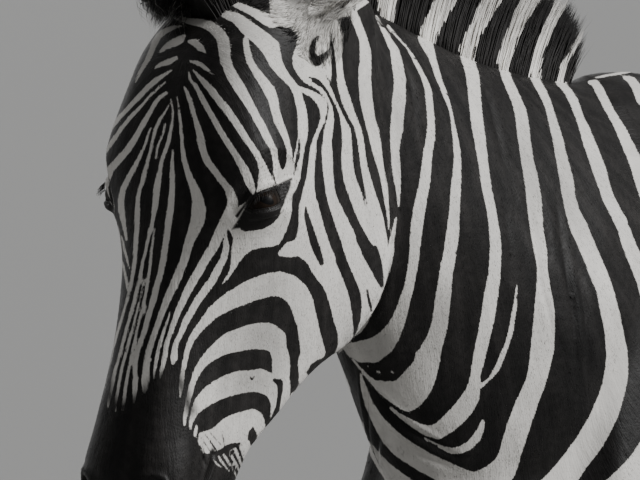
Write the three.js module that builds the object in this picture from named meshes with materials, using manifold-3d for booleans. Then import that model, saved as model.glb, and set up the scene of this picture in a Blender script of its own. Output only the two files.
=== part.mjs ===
// A life-size standing plains zebra as a museum model, its head hanging low and turned a little to its right.
// Millimetres, +Z up. The zebra faces -Y and its left side is +X. The origin is the middle of its box's base.
import * as THREE from "three";
import { mergeVertices } from "three/addons/utils/BufferGeometryUtils.js";
import Module from "manifold-3d";

const wasm = await Module();
wasm.setup();

// ---- Driving dimensions ----

const GAP = 0.3; // between neighbouring pieces
const NECK_REACH = 588; // from the withers forward to the poll, along the neck
const NECK_TURN = THREE.MathUtils.degToRad(9.5); // how far the head is turned to the zebra's right
const TURN_FROM = 60; // where along the neck the turn begins and ends
const TURN_TO = 520;
const POLL = 1394; // height of the head's own origin, between the ears
const FACE_TILT = THREE.MathUtils.degToRad(20); // the face leans this much forward of plumb
const EYE_RADIUS = 20;
const EYE_AT = { down: 205, out: 79, front: -13 };
const TOE_HEIGHT = 72; // of the hoof, whose top slopes down to the heel

// ---- Curves, rings and solids ----

// A smooth curve through (at[i], values[i]), with slopes taken from the neighbours.
function curve(at, values) {
  const last = at.length - 1;
  const slope = (i) => {
    const a = Math.max(0, i - 1);
    const b = Math.min(last, i + 1);
    return (values[b] - values[a]) / (at[b] - at[a]);
  };
  return (x) => {
    let i = 0;
    while (i < last - 1 && x > at[i + 1]) i++;
    const h = at[i + 1] - at[i];
    const t = Math.min(1, Math.max(0, (x - at[i]) / h));
    const t2 = t * t;
    const t3 = t2 * t;
    return (
      (2 * t3 - 3 * t2 + 1) * values[i] +
      (t3 - 2 * t2 + t) * h * slope(i) +
      (3 * t2 - 2 * t3) * values[i + 1] +
      (t3 - t2) * h * slope(i + 1)
    );
  };
}

// Every named list of a table becomes a curve over its "at" list, which runs up or down.
function curves({ at, ...lists }) {
  const made = { from: at[0], to: at[at.length - 1] };
  const rising = made.from < made.to;
  const ordered = (list) => (rising ? list : [...list].reverse());
  for (const [name, values] of Object.entries(lists)) made[name] = curve(ordered(at), ordered(values));
  return made;
}

// One point of an oval whose two halves have their own depth and squareness. Angle 0 is the top.
function oval(angle, width, up, down, upPower, downPower) {
  const c = Math.cos(angle);
  const s = Math.sin(angle);
  const power = 2 / (c >= 0 ? upPower : downPower);
  return {
    side: width * Math.sign(s) * Math.abs(s) ** power,
    rise: (c >= 0 ? up : down) * Math.sign(c) * Math.abs(c) ** power,
  };
}

// A closed skin over rings of points, with a fan to the middle of each end ring.
function loft(rings) {
  const size = rings[0].length;
  const points = rings.flat();
  const faces = [];
  for (let i = 0; i + 1 < rings.length; i++)
    for (let k = 0; k < size; k++) {
      const a = i * size + k;
      const b = i * size + ((k + 1) % size);
      faces.push(a, b, a + size, b, b + size, a + size);
    }
  const ends = [
    [rings[0], 0, false],
    [rings[rings.length - 1], (rings.length - 1) * size, true],
  ];
  for (const [ring, first, isLast] of ends) {
    const middle = ring.reduce((sum, p) => sum.add(p), new THREE.Vector3()).divideScalar(size);
    const m = points.push(middle) - 1;
    for (let k = 0; k < size; k++) {
      const a = first + k;
      const b = first + ((k + 1) % size);
      if (isLast) faces.push(a, b, m);
      else faces.push(b, a, m);
    }
  }
  const geometry = new THREE.BufferGeometry().setFromPoints(points);
  geometry.setIndex(faces);
  return solid(geometry);
}

// A three.js geometry as a manifold solid with its faces pointing out.
function solid(geometry) {
  const plain = new THREE.BufferGeometry();
  plain.setAttribute("position", geometry.getAttribute("position"));
  plain.setIndex(geometry.index);
  const merged = mergeVertices(plain, 1e-3);
  const vertProperties = new Float32Array(merged.attributes.position.array);
  const triVerts = new Uint32Array(merged.index.array);
  const made = new wasm.Manifold(new wasm.Mesh({ numProp: 3, vertProperties, triVerts }));
  if (made.volume() > 0) return made;
  for (let i = 0; i < triVerts.length; i += 3)
    [triVerts[i + 1], triVerts[i + 2]] = [triVerts[i + 2], triVerts[i + 1]];
  return new wasm.Manifold(new wasm.Mesh({ numProp: 3, vertProperties, triVerts }));
}

// Rings at even steps of a table of curves.
function rings(table, count, ringAt) {
  const made = [];
  for (let i = 0; i <= count; i++) {
    const t = i / count;
    made.push(ringAt(table.from + (table.to - table.from) * t));
  }
  return made;
}

function around(count, pointAt) {
  return Array.from({ length: count }, (_, k) => pointAt((2 * Math.PI * k) / count));
}

function union(pieces) {
  return pieces.reduce((sum, piece) => sum.add(piece));
}

// ---- Where the neck and head point ----

const BEND = NECK_TURN / (TURN_TO - TURN_FROM);

// The point on the ground track of the neck, its heading and its left side, at a distance ahead of the withers.
function track(ahead) {
  const turned = Math.min(Math.max(ahead - TURN_FROM, 0), TURN_TO - TURN_FROM);
  const angle = BEND * turned;
  const past = Math.max(ahead - TURN_TO, 0);
  const before = Math.min(ahead, TURN_FROM);
  const heading = new THREE.Vector3(-Math.sin(angle), -Math.cos(angle), 0);
  const point = new THREE.Vector3(-(1 - Math.cos(angle)) / BEND, -before - Math.sin(angle) / BEND, 0);
  point.addScaledVector(heading, past);
  const left = new THREE.Vector3(Math.cos(angle), -Math.sin(angle), 0);
  return { point, heading, left };
}

const pollTrack = track(NECK_REACH);
const HEAD = {
  origin: pollTrack.point.clone().setZ(POLL),
  left: pollTrack.left,
  down: pollTrack.heading.clone().multiplyScalar(Math.sin(FACE_TILT)).setZ(-Math.cos(FACE_TILT)),
  front: pollTrack.heading.clone().multiplyScalar(Math.cos(FACE_TILT)).setZ(Math.sin(FACE_TILT)),
};

// A point given by its distance down the face, out to the left and forward of the face line.
function headPoint(down, out, front) {
  return HEAD.origin
    .clone()
    .addScaledVector(HEAD.down, down)
    .addScaledVector(HEAD.left, out)
    .addScaledVector(HEAD.front, front);
}

// ---- Trunk ----

const BODY_POINTS = 22; // around each cross-section of trunk and neck

// Back line, belly line, half width and height of the widest place, from the breast to the buttocks.
const trunkShape = curves({
  at: [-320, -290, -230, -140, -20, 120, 260, 400, 540, 660, 760, 850, 930, 985],
  top: [880, 935, 1065, 1195, 1276, 1282, 1268, 1254, 1250, 1262, 1268, 1252, 1202, 1115],
  bottom: [742, 726, 710, 700, 696, 692, 686, 678, 688, 720, 775, 840, 885, 960],
  width: [30, 54, 94, 142, 182, 208, 240, 262, 264, 246, 226, 208, 165, 85],
  widest: [806, 810, 822, 855, 890, 905, 895, 888, 892, 920, 960, 1000, 1020, 1035],
  upPower: [1.9, 1.8, 1.7, 1.65, 1.65, 1.75, 1.9, 2, 2, 2, 2, 2.05, 2.1, 2.1],
  downPower: [2, 2, 2, 2.1, 2.2, 2.2, 2.2, 2.2, 2.15, 2.1, 2, 2, 2, 2],
});

function trunkRing(y) {
  const t = trunkShape;
  const widest = t.widest(y);
  return around(BODY_POINTS, (angle) => {
    const { side, rise } = oval(
      angle,
      t.width(y),
      t.top(y) - widest,
      widest - t.bottom(y),
      t.upPower(y),
      t.downPower(y),
    );
    return new THREE.Vector3(side, y, widest + rise);
  });
}

// ---- Neck ----

// Crest and throat as distance ahead of the withers and height, with the half width, from base to poll.
const neckShape = curves({
  at: [0, 1, 2, 3, 4, 5, 6, 7],
  crestAhead: [-90, 35, 120, 205, 295, 380, 465, 560],
  crestHeight: [1262, 1281, 1294, 1310, 1334, 1362, 1387, 1403],
  throatAhead: [170, 266, 326, 362, 394, 422, 450, 488],
  throatHeight: [790, 850, 905, 958, 1012, 1060, 1100, 1146],
  width: [132, 130, 112, 96, 84, 75, 68, 62],
  upPower: [1.7, 1.65, 1.6, 1.6, 1.65, 1.75, 1.9, 2],
  downPower: [1.9, 1.8, 1.7, 1.7, 1.75, 1.85, 1.95, 2],
});

function neckRing(at) {
  const n = neckShape;
  const middle = 0.46;
  return around(BODY_POINTS, (angle) => {
    const { side, rise } = oval(angle, n.width(at), 1 - middle, middle, n.upPower(at), n.downPower(at));
    const share = middle + rise;
    const ahead = n.throatAhead(at) + (n.crestAhead(at) - n.throatAhead(at)) * share;
    const height = n.throatHeight(at) + (n.crestHeight(at) - n.throatHeight(at)) * share;
    const place = track(ahead);
    return place.point.addScaledVector(place.left, side).setZ(height);
  });
}

// ---- Head ----

// Six outline points of the left half of each cross-section, down the face: the front line, the edge of
// forehead and nose, the brow and cheekbone, the cheek, the edge of the jaw and the line between the jaws.
const headShape = curves({
  at: [-30, 20, 70, 120, 165, 200, 232, 270, 320, 375, 425, 465, 497, 515],
  front: [-54, 12, 42, 50, 44, 35, 29, 24, 21, 19, 18, 12, -5, -34],
  edgeOut: [26, 48, 57, 60, 64, 60, 51, 40, 33, 30, 34, 38, 28, 10],
  edgeBack: [15, 10, 8, 7, 7, 7, 6, 6, 6, 6, 8, 9, 9, 7],
  browOut: [50, 68, 78, 85, 96, 98, 84, 68, 58, 53, 54, 58, 48, 20],
  browFront: [-92, -40, -10, 4, 12, 4, -14, -24, -28, -28, -24, -18, -32, -54],
  cheekOut: [56, 64, 72, 80, 84, 84, 80, 73, 60, 50, 46, 47, 41, 18],
  cheekFront: [-122, -104, -100, -100, -102, -104, -104, -100, -88, -74, -66, -62, -62, -66],
  jawOut: [48, 56, 62, 67, 70, 70, 67, 62, 53, 47, 41, 37, 31, 13],
  jawFront: [-150, -162, -182, -204, -222, -233, -234, -221, -176, -144, -123, -119, -117, -104],
  back: [-162, -174, -192, -212, -228, -238, -239, -226, -184, -152, -132, -131, -128, -112],
});
const HEAD_POINTS = 28; // around each cross-section
const MUZZLE_SLANT = 0.32; // the upper lip reaches further down than the chin

function headRing(down) {
  const h = headShape;
  const front = h.front(down);
  const half = [
    [0, front],
    [h.edgeOut(down), front - h.edgeBack(down)],
    [h.browOut(down), h.browFront(down)],
    [h.cheekOut(down), h.cheekFront(down)],
    [h.jawOut(down), h.jawFront(down)],
    [0, h.back(down)],
  ];
  const other = half.slice(1, -1).reverse();
  const outline = [...half, ...other.map(([out, forward]) => [-out, forward])];
  const loop = new THREE.CatmullRomCurve3(
    outline.map(([out, forward]) => new THREE.Vector3(out, forward, 0)),
    true,
    "centripetal",
  );
  const slant = MUZZLE_SLANT * THREE.MathUtils.smoothstep(down, 360, 500);
  return loop
    .getSpacedPoints(HEAD_POINTS)
    .slice(0, HEAD_POINTS)
    .map((p) => headPoint(down + slant * (p.y + 45), p.x, p.y));
}

// ---- Legs ----

// Front, back, outer and inner faces of a leg down its length, at the zebra's left side.
const foreleg = curves({
  at: [1130, 1050, 960, 880, 810, 740, 660, 570, 480, 418, 366, 290, 205, 162, 130, 96, 68, 0],
  fore: [-110, -146, -174, -198, -228, -204, -180, -168, -158, -157, -149, -143, -143, -150, -156, -164, -173, -193],
  hind: [-10, 20, 36, 36, 24, -2, -38, -64, -82, -78, -86, -91, -88, -80, -91, -103, -107, -101],
  outer: [110, 138, 156, 169, 180, 176, 164, 152, 143, 146, 139, 135, 135, 141, 137, 139, 143, 151],
  inner: [40, 50, 58, 60, 64, 70, 78, 84, 88, 85, 91, 95, 95, 89, 92, 90, 87, 79],
});
const hindleg = curves({
  at: [1170, 1090, 1000, 900, 810, 730, 650, 570, 510, 468, 425, 375, 300, 212, 166, 134, 98, 70, 0],
  fore: [700, 655, 628, 618, 628, 655, 698, 748, 790, 819, 834, 844, 850, 848, 838, 828, 817, 805, 784],
  hind: [900, 965, 992, 985, 958, 927, 902, 896, 912, 934, 925, 912, 906, 906, 910, 896, 880, 873, 877],
  outer: [120, 184, 214, 226, 222, 208, 184, 162, 153, 150, 147, 142, 138, 138, 143, 139, 139, 143, 150],
  inner: [20, 20, 20, 24, 38, 56, 71, 81, 85, 86, 89, 92, 96, 96, 91, 93, 92, 89, 81],
});
const LEGS = {
  front_left: { shape: foreleg, side: 1, forward: 18, rings: 24 },
  front_right: { shape: foreleg, side: -1, forward: -22, rings: 24 },
  hind_left: { shape: hindleg, side: 1, forward: -20, rings: 25 },
  hind_right: { shape: hindleg, side: -1, forward: 24, rings: 25 },
};
const STEP_FROM = 760; // a leg's step forward or back grows from nothing here down to the hoof

function legRing(leg, z) {
  const s = leg.shape;
  const step = -leg.forward * THREE.MathUtils.smoothstep(STEP_FROM - z, 0, STEP_FROM);
  const [fore, hind, outer, inner] = [s.fore(z), s.hind(z), s.outer(z), s.inner(z)];
  return around(12, (angle) => {
    const { side, rise } = oval(angle, (outer - inner) / 2, (hind - fore) / 2, (hind - fore) / 2, 2.2, 2.2);
    return new THREE.Vector3(leg.side * ((outer + inner) / 2 + side), (fore + hind) / 2 + rise + step, z);
  });
}

function legSolid(leg) {
  return loft(rings(leg.shape, leg.rings, (z) => legRing(leg, z)));
}

// ---- Tail ----

// The dock hangs from the croup in an arc, and its tuft of long hair goes on straight down.
const tailShape = curves({
  at: [0, 1, 2, 3, 4, 5, 6],
  back: [905, 962, 1000, 1019, 1026, 1026, 1022],
  height: [1190, 1176, 1130, 1060, 970, 880, 800],
  radius: [34, 31, 25, 20, 17, 15, 14],
});
const tuftShape = curves({
  at: [0, 1, 2, 3, 4, 5],
  back: [1024, 1022, 1018, 1016, 1016, 1018],
  height: [856, 790, 700, 600, 520, 470],
  radius: [15, 30, 38, 36, 24, 5],
});

function tailRing(table, at, points) {
  const step = 0.05;
  const along = new THREE.Vector2(
    table.back(at + step) - table.back(at - step),
    table.height(at + step) - table.height(at - step),
  ).normalize();
  const radius = table.radius(at);
  return around(points, (angle) => {
    const out = radius * Math.cos(angle);
    return new THREE.Vector3(
      radius * Math.sin(angle),
      table.back(at) - along.y * out,
      table.height(at) + along.x * out,
    );
  });
}

// ---- Mane ----

// A stiff upright blade of hair from the forelock to the withers. Its hair leans back from the crest line.
const maneShape = curves({
  at: [0, 1, 2, 3, 4, 5, 6, 7, 8, 9],
  ahead: [22, 70, 150, 235, 320, 405, 480, 540, 590, 622],
  root: [1262, 1270, 1284, 1302, 1326, 1354, 1376, 1386, 1374, 1352],
  tipBack: [26, 46, 62, 66, 64, 56, 38, 10, -34, -58],
  tipRise: [34, 76, 94, 102, 106, 110, 112, 110, 94, 46],
  thick: [10, 16, 18, 19, 19, 19, 20, 22, 28, 26],
});

function maneRing(at) {
  const m = maneShape;
  const tipShare = 0.4;
  return around(10, (angle) => {
    const { side, rise } = oval(angle, 1, 1, 1, 2.6, 2.6);
    const share = (rise + 1) / 2;
    const place = track(m.ahead(at) - m.tipBack(at) * share);
    const half = m.thick(at) * (1 - (1 - tipShare) * share);
    return place.point.addScaledVector(place.left, half * side).setZ(m.root(at) + m.tipRise(at) * share);
  });
}

// ---- Ears and eyes ----

const EAR = { length: 165, wall: 7, down: 12, out: 46, front: -46 };
const earShape = curves({
  at: [0, 0.12, 0.3, 0.5, 0.7, 0.86, 1],
  radius: [27, 30, 36, 37, 31, 20, 5],
  wrap: [170, 160, 128, 112, 104, 98, 92],
});

// The ear's own axes: it stands up, back and a little out, and its opening faces outward.
function earFrame(side) {
  const up = HEAD.down.clone().multiplyScalar(-0.85);
  up.addScaledVector(HEAD.front, -0.28).addScaledVector(HEAD.left, side * 0.42).normalize();
  const open = HEAD.front.clone().multiplyScalar(0.25).addScaledVector(HEAD.left, side);
  open.addScaledVector(up, -open.dot(up)).normalize();
  return { up, open, across: new THREE.Vector3().crossVectors(up, open) };
}

// A leaf-shaped shell: each ring is a crescent, nearly closed at the base and open higher up.
function earSolid(side) {
  const { up, open, across } = earFrame(side);
  const base = headPoint(EAR.down, side * EAR.out, EAR.front);
  const steps = 6;
  const ringAt = (t) => {
    const outer = earShape.radius(t);
    const inner = Math.max(outer - EAR.wall * (1 - 0.7 * t), 0.25 * outer);
    const wrap = THREE.MathUtils.degToRad(earShape.wrap(t));
    const place = (radius, angle) =>
      base
        .clone()
        .addScaledVector(up, t * EAR.length)
        .addScaledVector(open, -radius * Math.cos(angle) + 0.2 * earShape.radius(t))
        .addScaledVector(across, radius * Math.sin(angle));
    const outside = Array.from({ length: steps }, (_, k) => place(outer, wrap * ((2 * k) / (steps - 1) - 1)));
    const inside = Array.from({ length: steps }, (_, k) => place(inner, wrap * (1 - (2 * k) / (steps - 1))));
    return [...outside, ...inside];
  };
  return loft(rings({ from: 0, to: 1 }, 9, ringAt));
}

function eyeSolid(side, extra) {
  const ball = new THREE.SphereGeometry(EYE_RADIUS + extra, 12, 8);
  const centre = headPoint(EYE_AT.down, side * EYE_AT.out, EYE_AT.front);
  return solid(ball.translate(...centre.toArray()));
}

// ---- Cutting the whole body into named pieces ----

const UP = new THREE.Vector3(0, 0, 1);
const DOWN = new THREE.Vector3(0, 0, -1);
const FORWARD = new THREE.Vector3(0, -1, 0);
const BACKWARD = new THREE.Vector3(0, 1, 0);
const LEFT = new THREE.Vector3(1, 0, 0);

// A big block whose face passes half a gap beyond a point, on the side the direction points to.
function halfSpace(point, direction) {
  const size = 6000;
  const block = new THREE.BoxGeometry(size, size, size).translate(0, 0, size / 2 + GAP / 2);
  const turn = new THREE.Quaternion().setFromUnitVectors(UP, direction.clone().normalize());
  return solid(block.applyQuaternion(turn).translate(...point.toArray()));
}

// Cuts a solid in two at a plane: the part on the side the direction points to, and the rest.
function divide(whole, point, direction) {
  return [
    whole.intersect(halfSpace(point, direction)),
    whole.intersect(halfSpace(point, direction.clone().negate())),
  ];
}

const headLoft = loft(rings(headShape, 25, headRing));
const neckLoft = loft(rings(neckShape, 11, neckRing));
const trunkLoft = loft(rings(trunkShape, 21, trunkRing));
const legLofts = Object.entries(LEGS).map(([name, leg]) => ({ name, leg, whole: legSolid(leg) }));
const flesh = union([trunkLoft, neckLoft, headLoft, ...legLofts.map(({ whole }) => whole)]);
const socketed = [1, -1].reduce((body, side) => body.subtract(eyeSolid(side, GAP)), flesh);

const nodes = {};

// The head ends at a plane behind the ears and the jaw.
const behindEars = headPoint(-8, 0, -80);
const behindJaw = headPoint(235, 0, -228);
const faceward = new THREE.Vector3().crossVectors(HEAD.left, behindJaw.sub(behindEars)).normalize();
if (faceward.dot(HEAD.front) < 0) faceward.negate();
const [head, headless] = divide(socketed, behindEars, faceward);

// The neck ends at a slanting plane from the withers to the breast.
const neckBase = new THREE.Vector3(0, -215, 1080);
const [neck, body] = divide(headless, neckBase, new THREE.Vector3(0, -0.93, 0.37));
nodes.head = head;
nodes.neck = neck;

const PARTS = {
  front: { top: 688, upper: "forearm", knee: 440 },
  hind: { top: 692, upper: "gaskin", knee: 490 },
};
const CORONET = new THREE.Vector3(0, -0.35, -1);

// The space that a leg takes up below the trunk: a column around it, under the cutting height.
function legSpace(whole, side, top) {
  const { min, max } = whole.boundingBox();
  const margin = 30;
  const column = new THREE.BoxGeometry(300, max[1] - min[1] + 2 * margin, top + 2 * margin);
  column.translate(side * 155, (max[1] + min[1]) / 2, top / 2);
  return halfSpace(new THREE.Vector3(0, 0, top), DOWN).intersect(solid(column));
}

let trunk = body;
for (const { name, leg, whole } of legLofts) {
  const { top, upper, knee } = PARTS[name.split("_")[0]];
  trunk = trunk.subtract(legSpace(whole, leg.side, top + GAP));
  const limb = whole.intersect(halfSpace(new THREE.Vector3(0, 0, top), DOWN));
  const [shank, above] = divide(limb, new THREE.Vector3(0, 0, knee), DOWN);
  const toe = legRing(leg, TOE_HEIGHT).reduce((a, b) => (a.y < b.y ? a : b));
  const [hoof, cannon] = divide(shank, toe, CORONET);
  nodes[`${upper}_${name}`] = above;
  nodes[`cannon_${name}`] = cannon;
  nodes[`hoof_${name}`] = hoof;
}
nodes.trunk = trunk;

// ---- Pieces that stand on the body ----

// Cuts a body out of a piece, leaving a gap in each direction in which the piece stands off the body.
function clearOf(piece, body, directions) {
  return directions.reduce((left, way) => {
    const { x, y, z } = way.clone().multiplyScalar(1.3 * GAP);
    return left.subtract(body.translate([x, y, z]));
  }, piece.subtract(body));
}

nodes.mane = clearOf(loft(rings(maneShape, 15, maneRing)), flesh, [UP, FORWARD]);

const tailAt = (table) => (at) => tailRing(table, at, 10);
const dock = clearOf(loft(rings(tailShape, 12, tailAt(tailShape))), flesh, [UP, BACKWARD]);
const tuft = loft(rings(tuftShape, 10, tailAt(tuftShape)));
const tuftTop = new THREE.Vector3(0, 0, tuftShape.height(0.25));
nodes.tail = dock.intersect(halfSpace(tuftTop, UP));
nodes.tail_tuft = tuft.intersect(halfSpace(tuftTop, DOWN));

for (const [name, side] of [["left", 1], ["right", -1]]) {
  const outward = LEFT.clone().multiplyScalar(side);
  const ear = clearOf(earSolid(side), flesh, [UP, FORWARD, BACKWARD, outward]);
  nodes[`ear_${name}`] = clearOf(ear, nodes.mane, [outward]);
  nodes[`eye_${name}`] = eyeSolid(side, 0);
}

// ---- The group ----

const FINISHES = {
  coat: { color: 0xb8b4ac, roughness: 0.85, metalness: 0 },
  hair: { color: 0x2a2724, roughness: 0.75, metalness: 0 },
  hoof: { color: 0x35302b, roughness: 0.55, metalness: 0 },
  eye: { color: 0x120c08, roughness: 0.1, metalness: 0 },
};
const materials = Object.fromEntries(
  Object.entries(FINISHES).map(([name, look]) => [name, new THREE.MeshStandardMaterial(look)]),
);

function finishOf(name) {
  if (name.startsWith("eye")) return materials.eye;
  if (name.startsWith("hoof")) return materials.hoof;
  if (name === "mane" || name === "tail_tuft") return materials.hair;
  return materials.coat;
}

function biggestBody(made) {
  return made.decompose().reduce((a, b) => (a.volume() > b.volume() ? a : b));
}

function meshOf(name, made) {
  const { vertProperties, triVerts } = biggestBody(made).getMesh();
  const geometry = new THREE.BufferGeometry();
  geometry.setAttribute("position", new THREE.BufferAttribute(vertProperties, 3));
  geometry.setIndex(new THREE.BufferAttribute(triVerts, 1));
  geometry.computeVertexNormals();
  const mesh = new THREE.Mesh(geometry, finishOf(name));
  mesh.name = name;
  return mesh;
}

const zebra = new THREE.Group();
for (const [name, made] of Object.entries(nodes)) zebra.add(meshOf(name, made));

// The origin is the middle of the zebra's box on the floor.
const box = new THREE.Box3().setFromObject(zebra, true);
const middle = box.getCenter(new THREE.Vector3());
zebra.position.set(-middle.x, -middle.y, -box.min.z);
zebra.updateMatrixWorld(true);

export default zebra;
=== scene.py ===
"""A life-size plains zebra, standing, with its coat, mane, tail tuft, eyes and hooves."""

import math

import bmesh
import bpy
import numpy as np
from mathutils import Matrix, Vector


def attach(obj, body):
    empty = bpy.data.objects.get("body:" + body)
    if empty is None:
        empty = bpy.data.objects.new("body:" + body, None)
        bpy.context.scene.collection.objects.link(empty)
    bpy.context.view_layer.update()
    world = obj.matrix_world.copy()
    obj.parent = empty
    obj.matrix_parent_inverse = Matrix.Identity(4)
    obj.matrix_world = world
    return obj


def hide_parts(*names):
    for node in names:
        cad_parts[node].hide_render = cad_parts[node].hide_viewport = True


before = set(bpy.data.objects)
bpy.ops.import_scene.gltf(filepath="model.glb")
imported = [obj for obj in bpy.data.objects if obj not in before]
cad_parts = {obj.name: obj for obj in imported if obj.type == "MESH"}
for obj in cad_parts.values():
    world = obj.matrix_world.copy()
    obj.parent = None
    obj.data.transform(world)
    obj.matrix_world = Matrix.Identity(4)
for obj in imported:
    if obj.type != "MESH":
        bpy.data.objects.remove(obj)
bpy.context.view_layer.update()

MM = 0.001
SEED = 41
rng = np.random.default_rng(SEED)

# ---- Camera ----

CAMERA_AT = np.array([2.9258, -5.7259, 1.6128])
CAMERA_TURN = math.radians(30)  # from straight ahead of the zebra towards its left side
CAMERA_DIP = math.radians(4.5)
FOCAL_PIXELS = 6300.0
PICTURE = (640, 480)
SENSOR = 36.0

LOOK = np.array(
    [
        -math.sin(CAMERA_TURN) * math.cos(CAMERA_DIP),
        math.cos(CAMERA_TURN) * math.cos(CAMERA_DIP),
        -math.sin(CAMERA_DIP),
    ]
)
LOOK_RIGHT = np.array([math.cos(CAMERA_TURN), math.sin(CAMERA_TURN), 0.0])
LOOK_UP = np.cross(LOOK_RIGHT, LOOK)

lens = bpy.data.cameras.new("portrait_camera")
lens.sensor_width = SENSOR
lens.lens = FOCAL_PIXELS * SENSOR / PICTURE[0]
lens.clip_start = 0.5
lens.clip_end = 2000
camera = bpy.data.objects.new("portrait_camera", lens)
camera.matrix_world = Matrix(
    [[*column] for column in np.column_stack([LOOK_RIGHT, LOOK_UP, -LOOK])]
).to_4x4()
camera.location = CAMERA_AT
bpy.context.scene.collection.objects.link(camera)
bpy.context.scene.camera = camera


def picture(points):
    """Where points fall in the camera's view, in pixels from its top left."""
    offset = points - CAMERA_AT
    depth = offset @ LOOK
    across = PICTURE[0] / 2 + FOCAL_PIXELS * (offset @ LOOK_RIGHT) / depth
    down = PICTURE[1] / 2 - FOCAL_PIXELS * (offset @ LOOK_UP) / depth
    return np.column_stack([across, down])


def sight(pixel):
    """The direction from the camera through a pixel."""
    ray = (
        LOOK
        + LOOK_RIGHT * (pixel[0] - PICTURE[0] / 2) / FOCAL_PIXELS
        - LOOK_UP * (pixel[1] - PICTURE[1] / 2) / FOCAL_PIXELS
    )
    return ray / np.linalg.norm(ray)


# ---- The body's own directions ----

CENTRING = -0.1483103  # how far the box's middle lies ahead of the withers
TURN_FROM = 0.060  # the neck starts to turn this far ahead of the withers
TURN_TO = 0.520  # and has done so here
TURN = math.radians(9.5)  # the head looks this much to the zebra's right
BEND_RADIUS = (TURN_TO - TURN_FROM) / TURN
POLL_REACH = 0.588  # the top of the head, ahead of the withers
POLL_HEIGHT = 1.394
FACE_TILT = math.radians(20)  # of the face line, from upright


def spine_frame(points):
    """How far each point is ahead of the withers, how far left of the midline, and the left direction."""
    x = points[:, 0]
    y = points[:, 1] - CENTRING
    to_x = x + BEND_RADIUS
    to_y = y + TURN_FROM
    angle = np.clip(np.arctan2(-to_y, to_x), 0, TURN)
    left = np.column_stack([np.cos(angle), -np.sin(angle), np.zeros(len(x))])
    heading = np.column_stack([-np.sin(angle), -np.cos(angle), np.zeros(len(x))])
    on_arc = np.column_stack(
        [
            BEND_RADIUS * (np.cos(angle) - 1),
            -TURN_FROM - BEND_RADIUS * np.sin(angle),
            np.zeros(len(x)),
        ]
    )
    offset = np.column_stack([x, y, np.zeros(len(x))]) - on_arc
    ahead = TURN_FROM + BEND_RADIUS * angle + (offset * heading).sum(1)
    lateral = (offset * left).sum(1)
    return ahead, lateral, left


def spine_point(ahead, lateral, height):
    """The place that spine_frame measures: arrays or numbers to points."""
    ahead, lateral, height = np.broadcast_arrays(
        np.asarray(ahead, float), np.asarray(lateral, float), np.asarray(height, float)
    )
    angle = np.clip(ahead - TURN_FROM, 0, TURN_TO - TURN_FROM) / BEND_RADIUS
    straight = np.where(
        ahead < TURN_FROM, ahead - TURN_FROM, np.maximum(ahead - TURN_TO, 0)
    )
    x = BEND_RADIUS * (np.cos(angle) - 1) - straight * np.sin(angle)
    y = -TURN_FROM - BEND_RADIUS * np.sin(angle) - straight * np.cos(angle)
    return np.stack(
        [
            x + lateral * np.cos(angle),
            y - lateral * np.sin(angle) + CENTRING,
            height,
        ],
        -1,
    )


def mirrored(points, lateral, left):
    """The matching points on the zebra's other side."""
    return points - 2 * lateral[:, None] * left


HEAD_LEFT = np.array([math.cos(TURN), -math.sin(TURN), 0.0])
HEADING = np.array([-math.sin(TURN), -math.cos(TURN), 0.0])
HEAD_DOWN = HEADING * math.sin(FACE_TILT) + np.array([0, 0, -math.cos(FACE_TILT)])
HEAD_FRONT = HEADING * math.cos(FACE_TILT) + np.array([0, 0, math.sin(FACE_TILT)])
HEAD_AT = spine_point(POLL_REACH, 0, POLL_HEIGHT)
HEAD_AXES = np.array([HEAD_DOWN, HEAD_LEFT, HEAD_FRONT])


def head_frame(points):
    """Millimetres down the face, out to the left and forward of the face line."""
    return (points - HEAD_AT) @ HEAD_AXES.T / MM


def head_point(down, out, front):
    """The place of a point given in the head's own directions, in millimetres."""
    return HEAD_AT + (HEAD_DOWN * down + HEAD_LEFT * out + HEAD_FRONT * front) * MM


def smooth_step(low, high, value):
    """0 at low, 1 at high, smooth between; low may be the greater."""
    t = np.clip((value - low) / (high - low), 0, 1)
    return t * t * (3 - 2 * t)


def bell(value, middle, width):
    """1 at the middle, falling smoothly to almost 0 two widths away."""
    return np.exp(-(((value - middle) / width) ** 2))


def unit(vectors):
    """The same directions, each of length 1."""
    return vectors / np.maximum(np.linalg.norm(vectors, axis=-1, keepdims=True), 1e-12)

# ---- Markings: white strokes on black, each a line of (across, down, half width) in pixels ----

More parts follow.
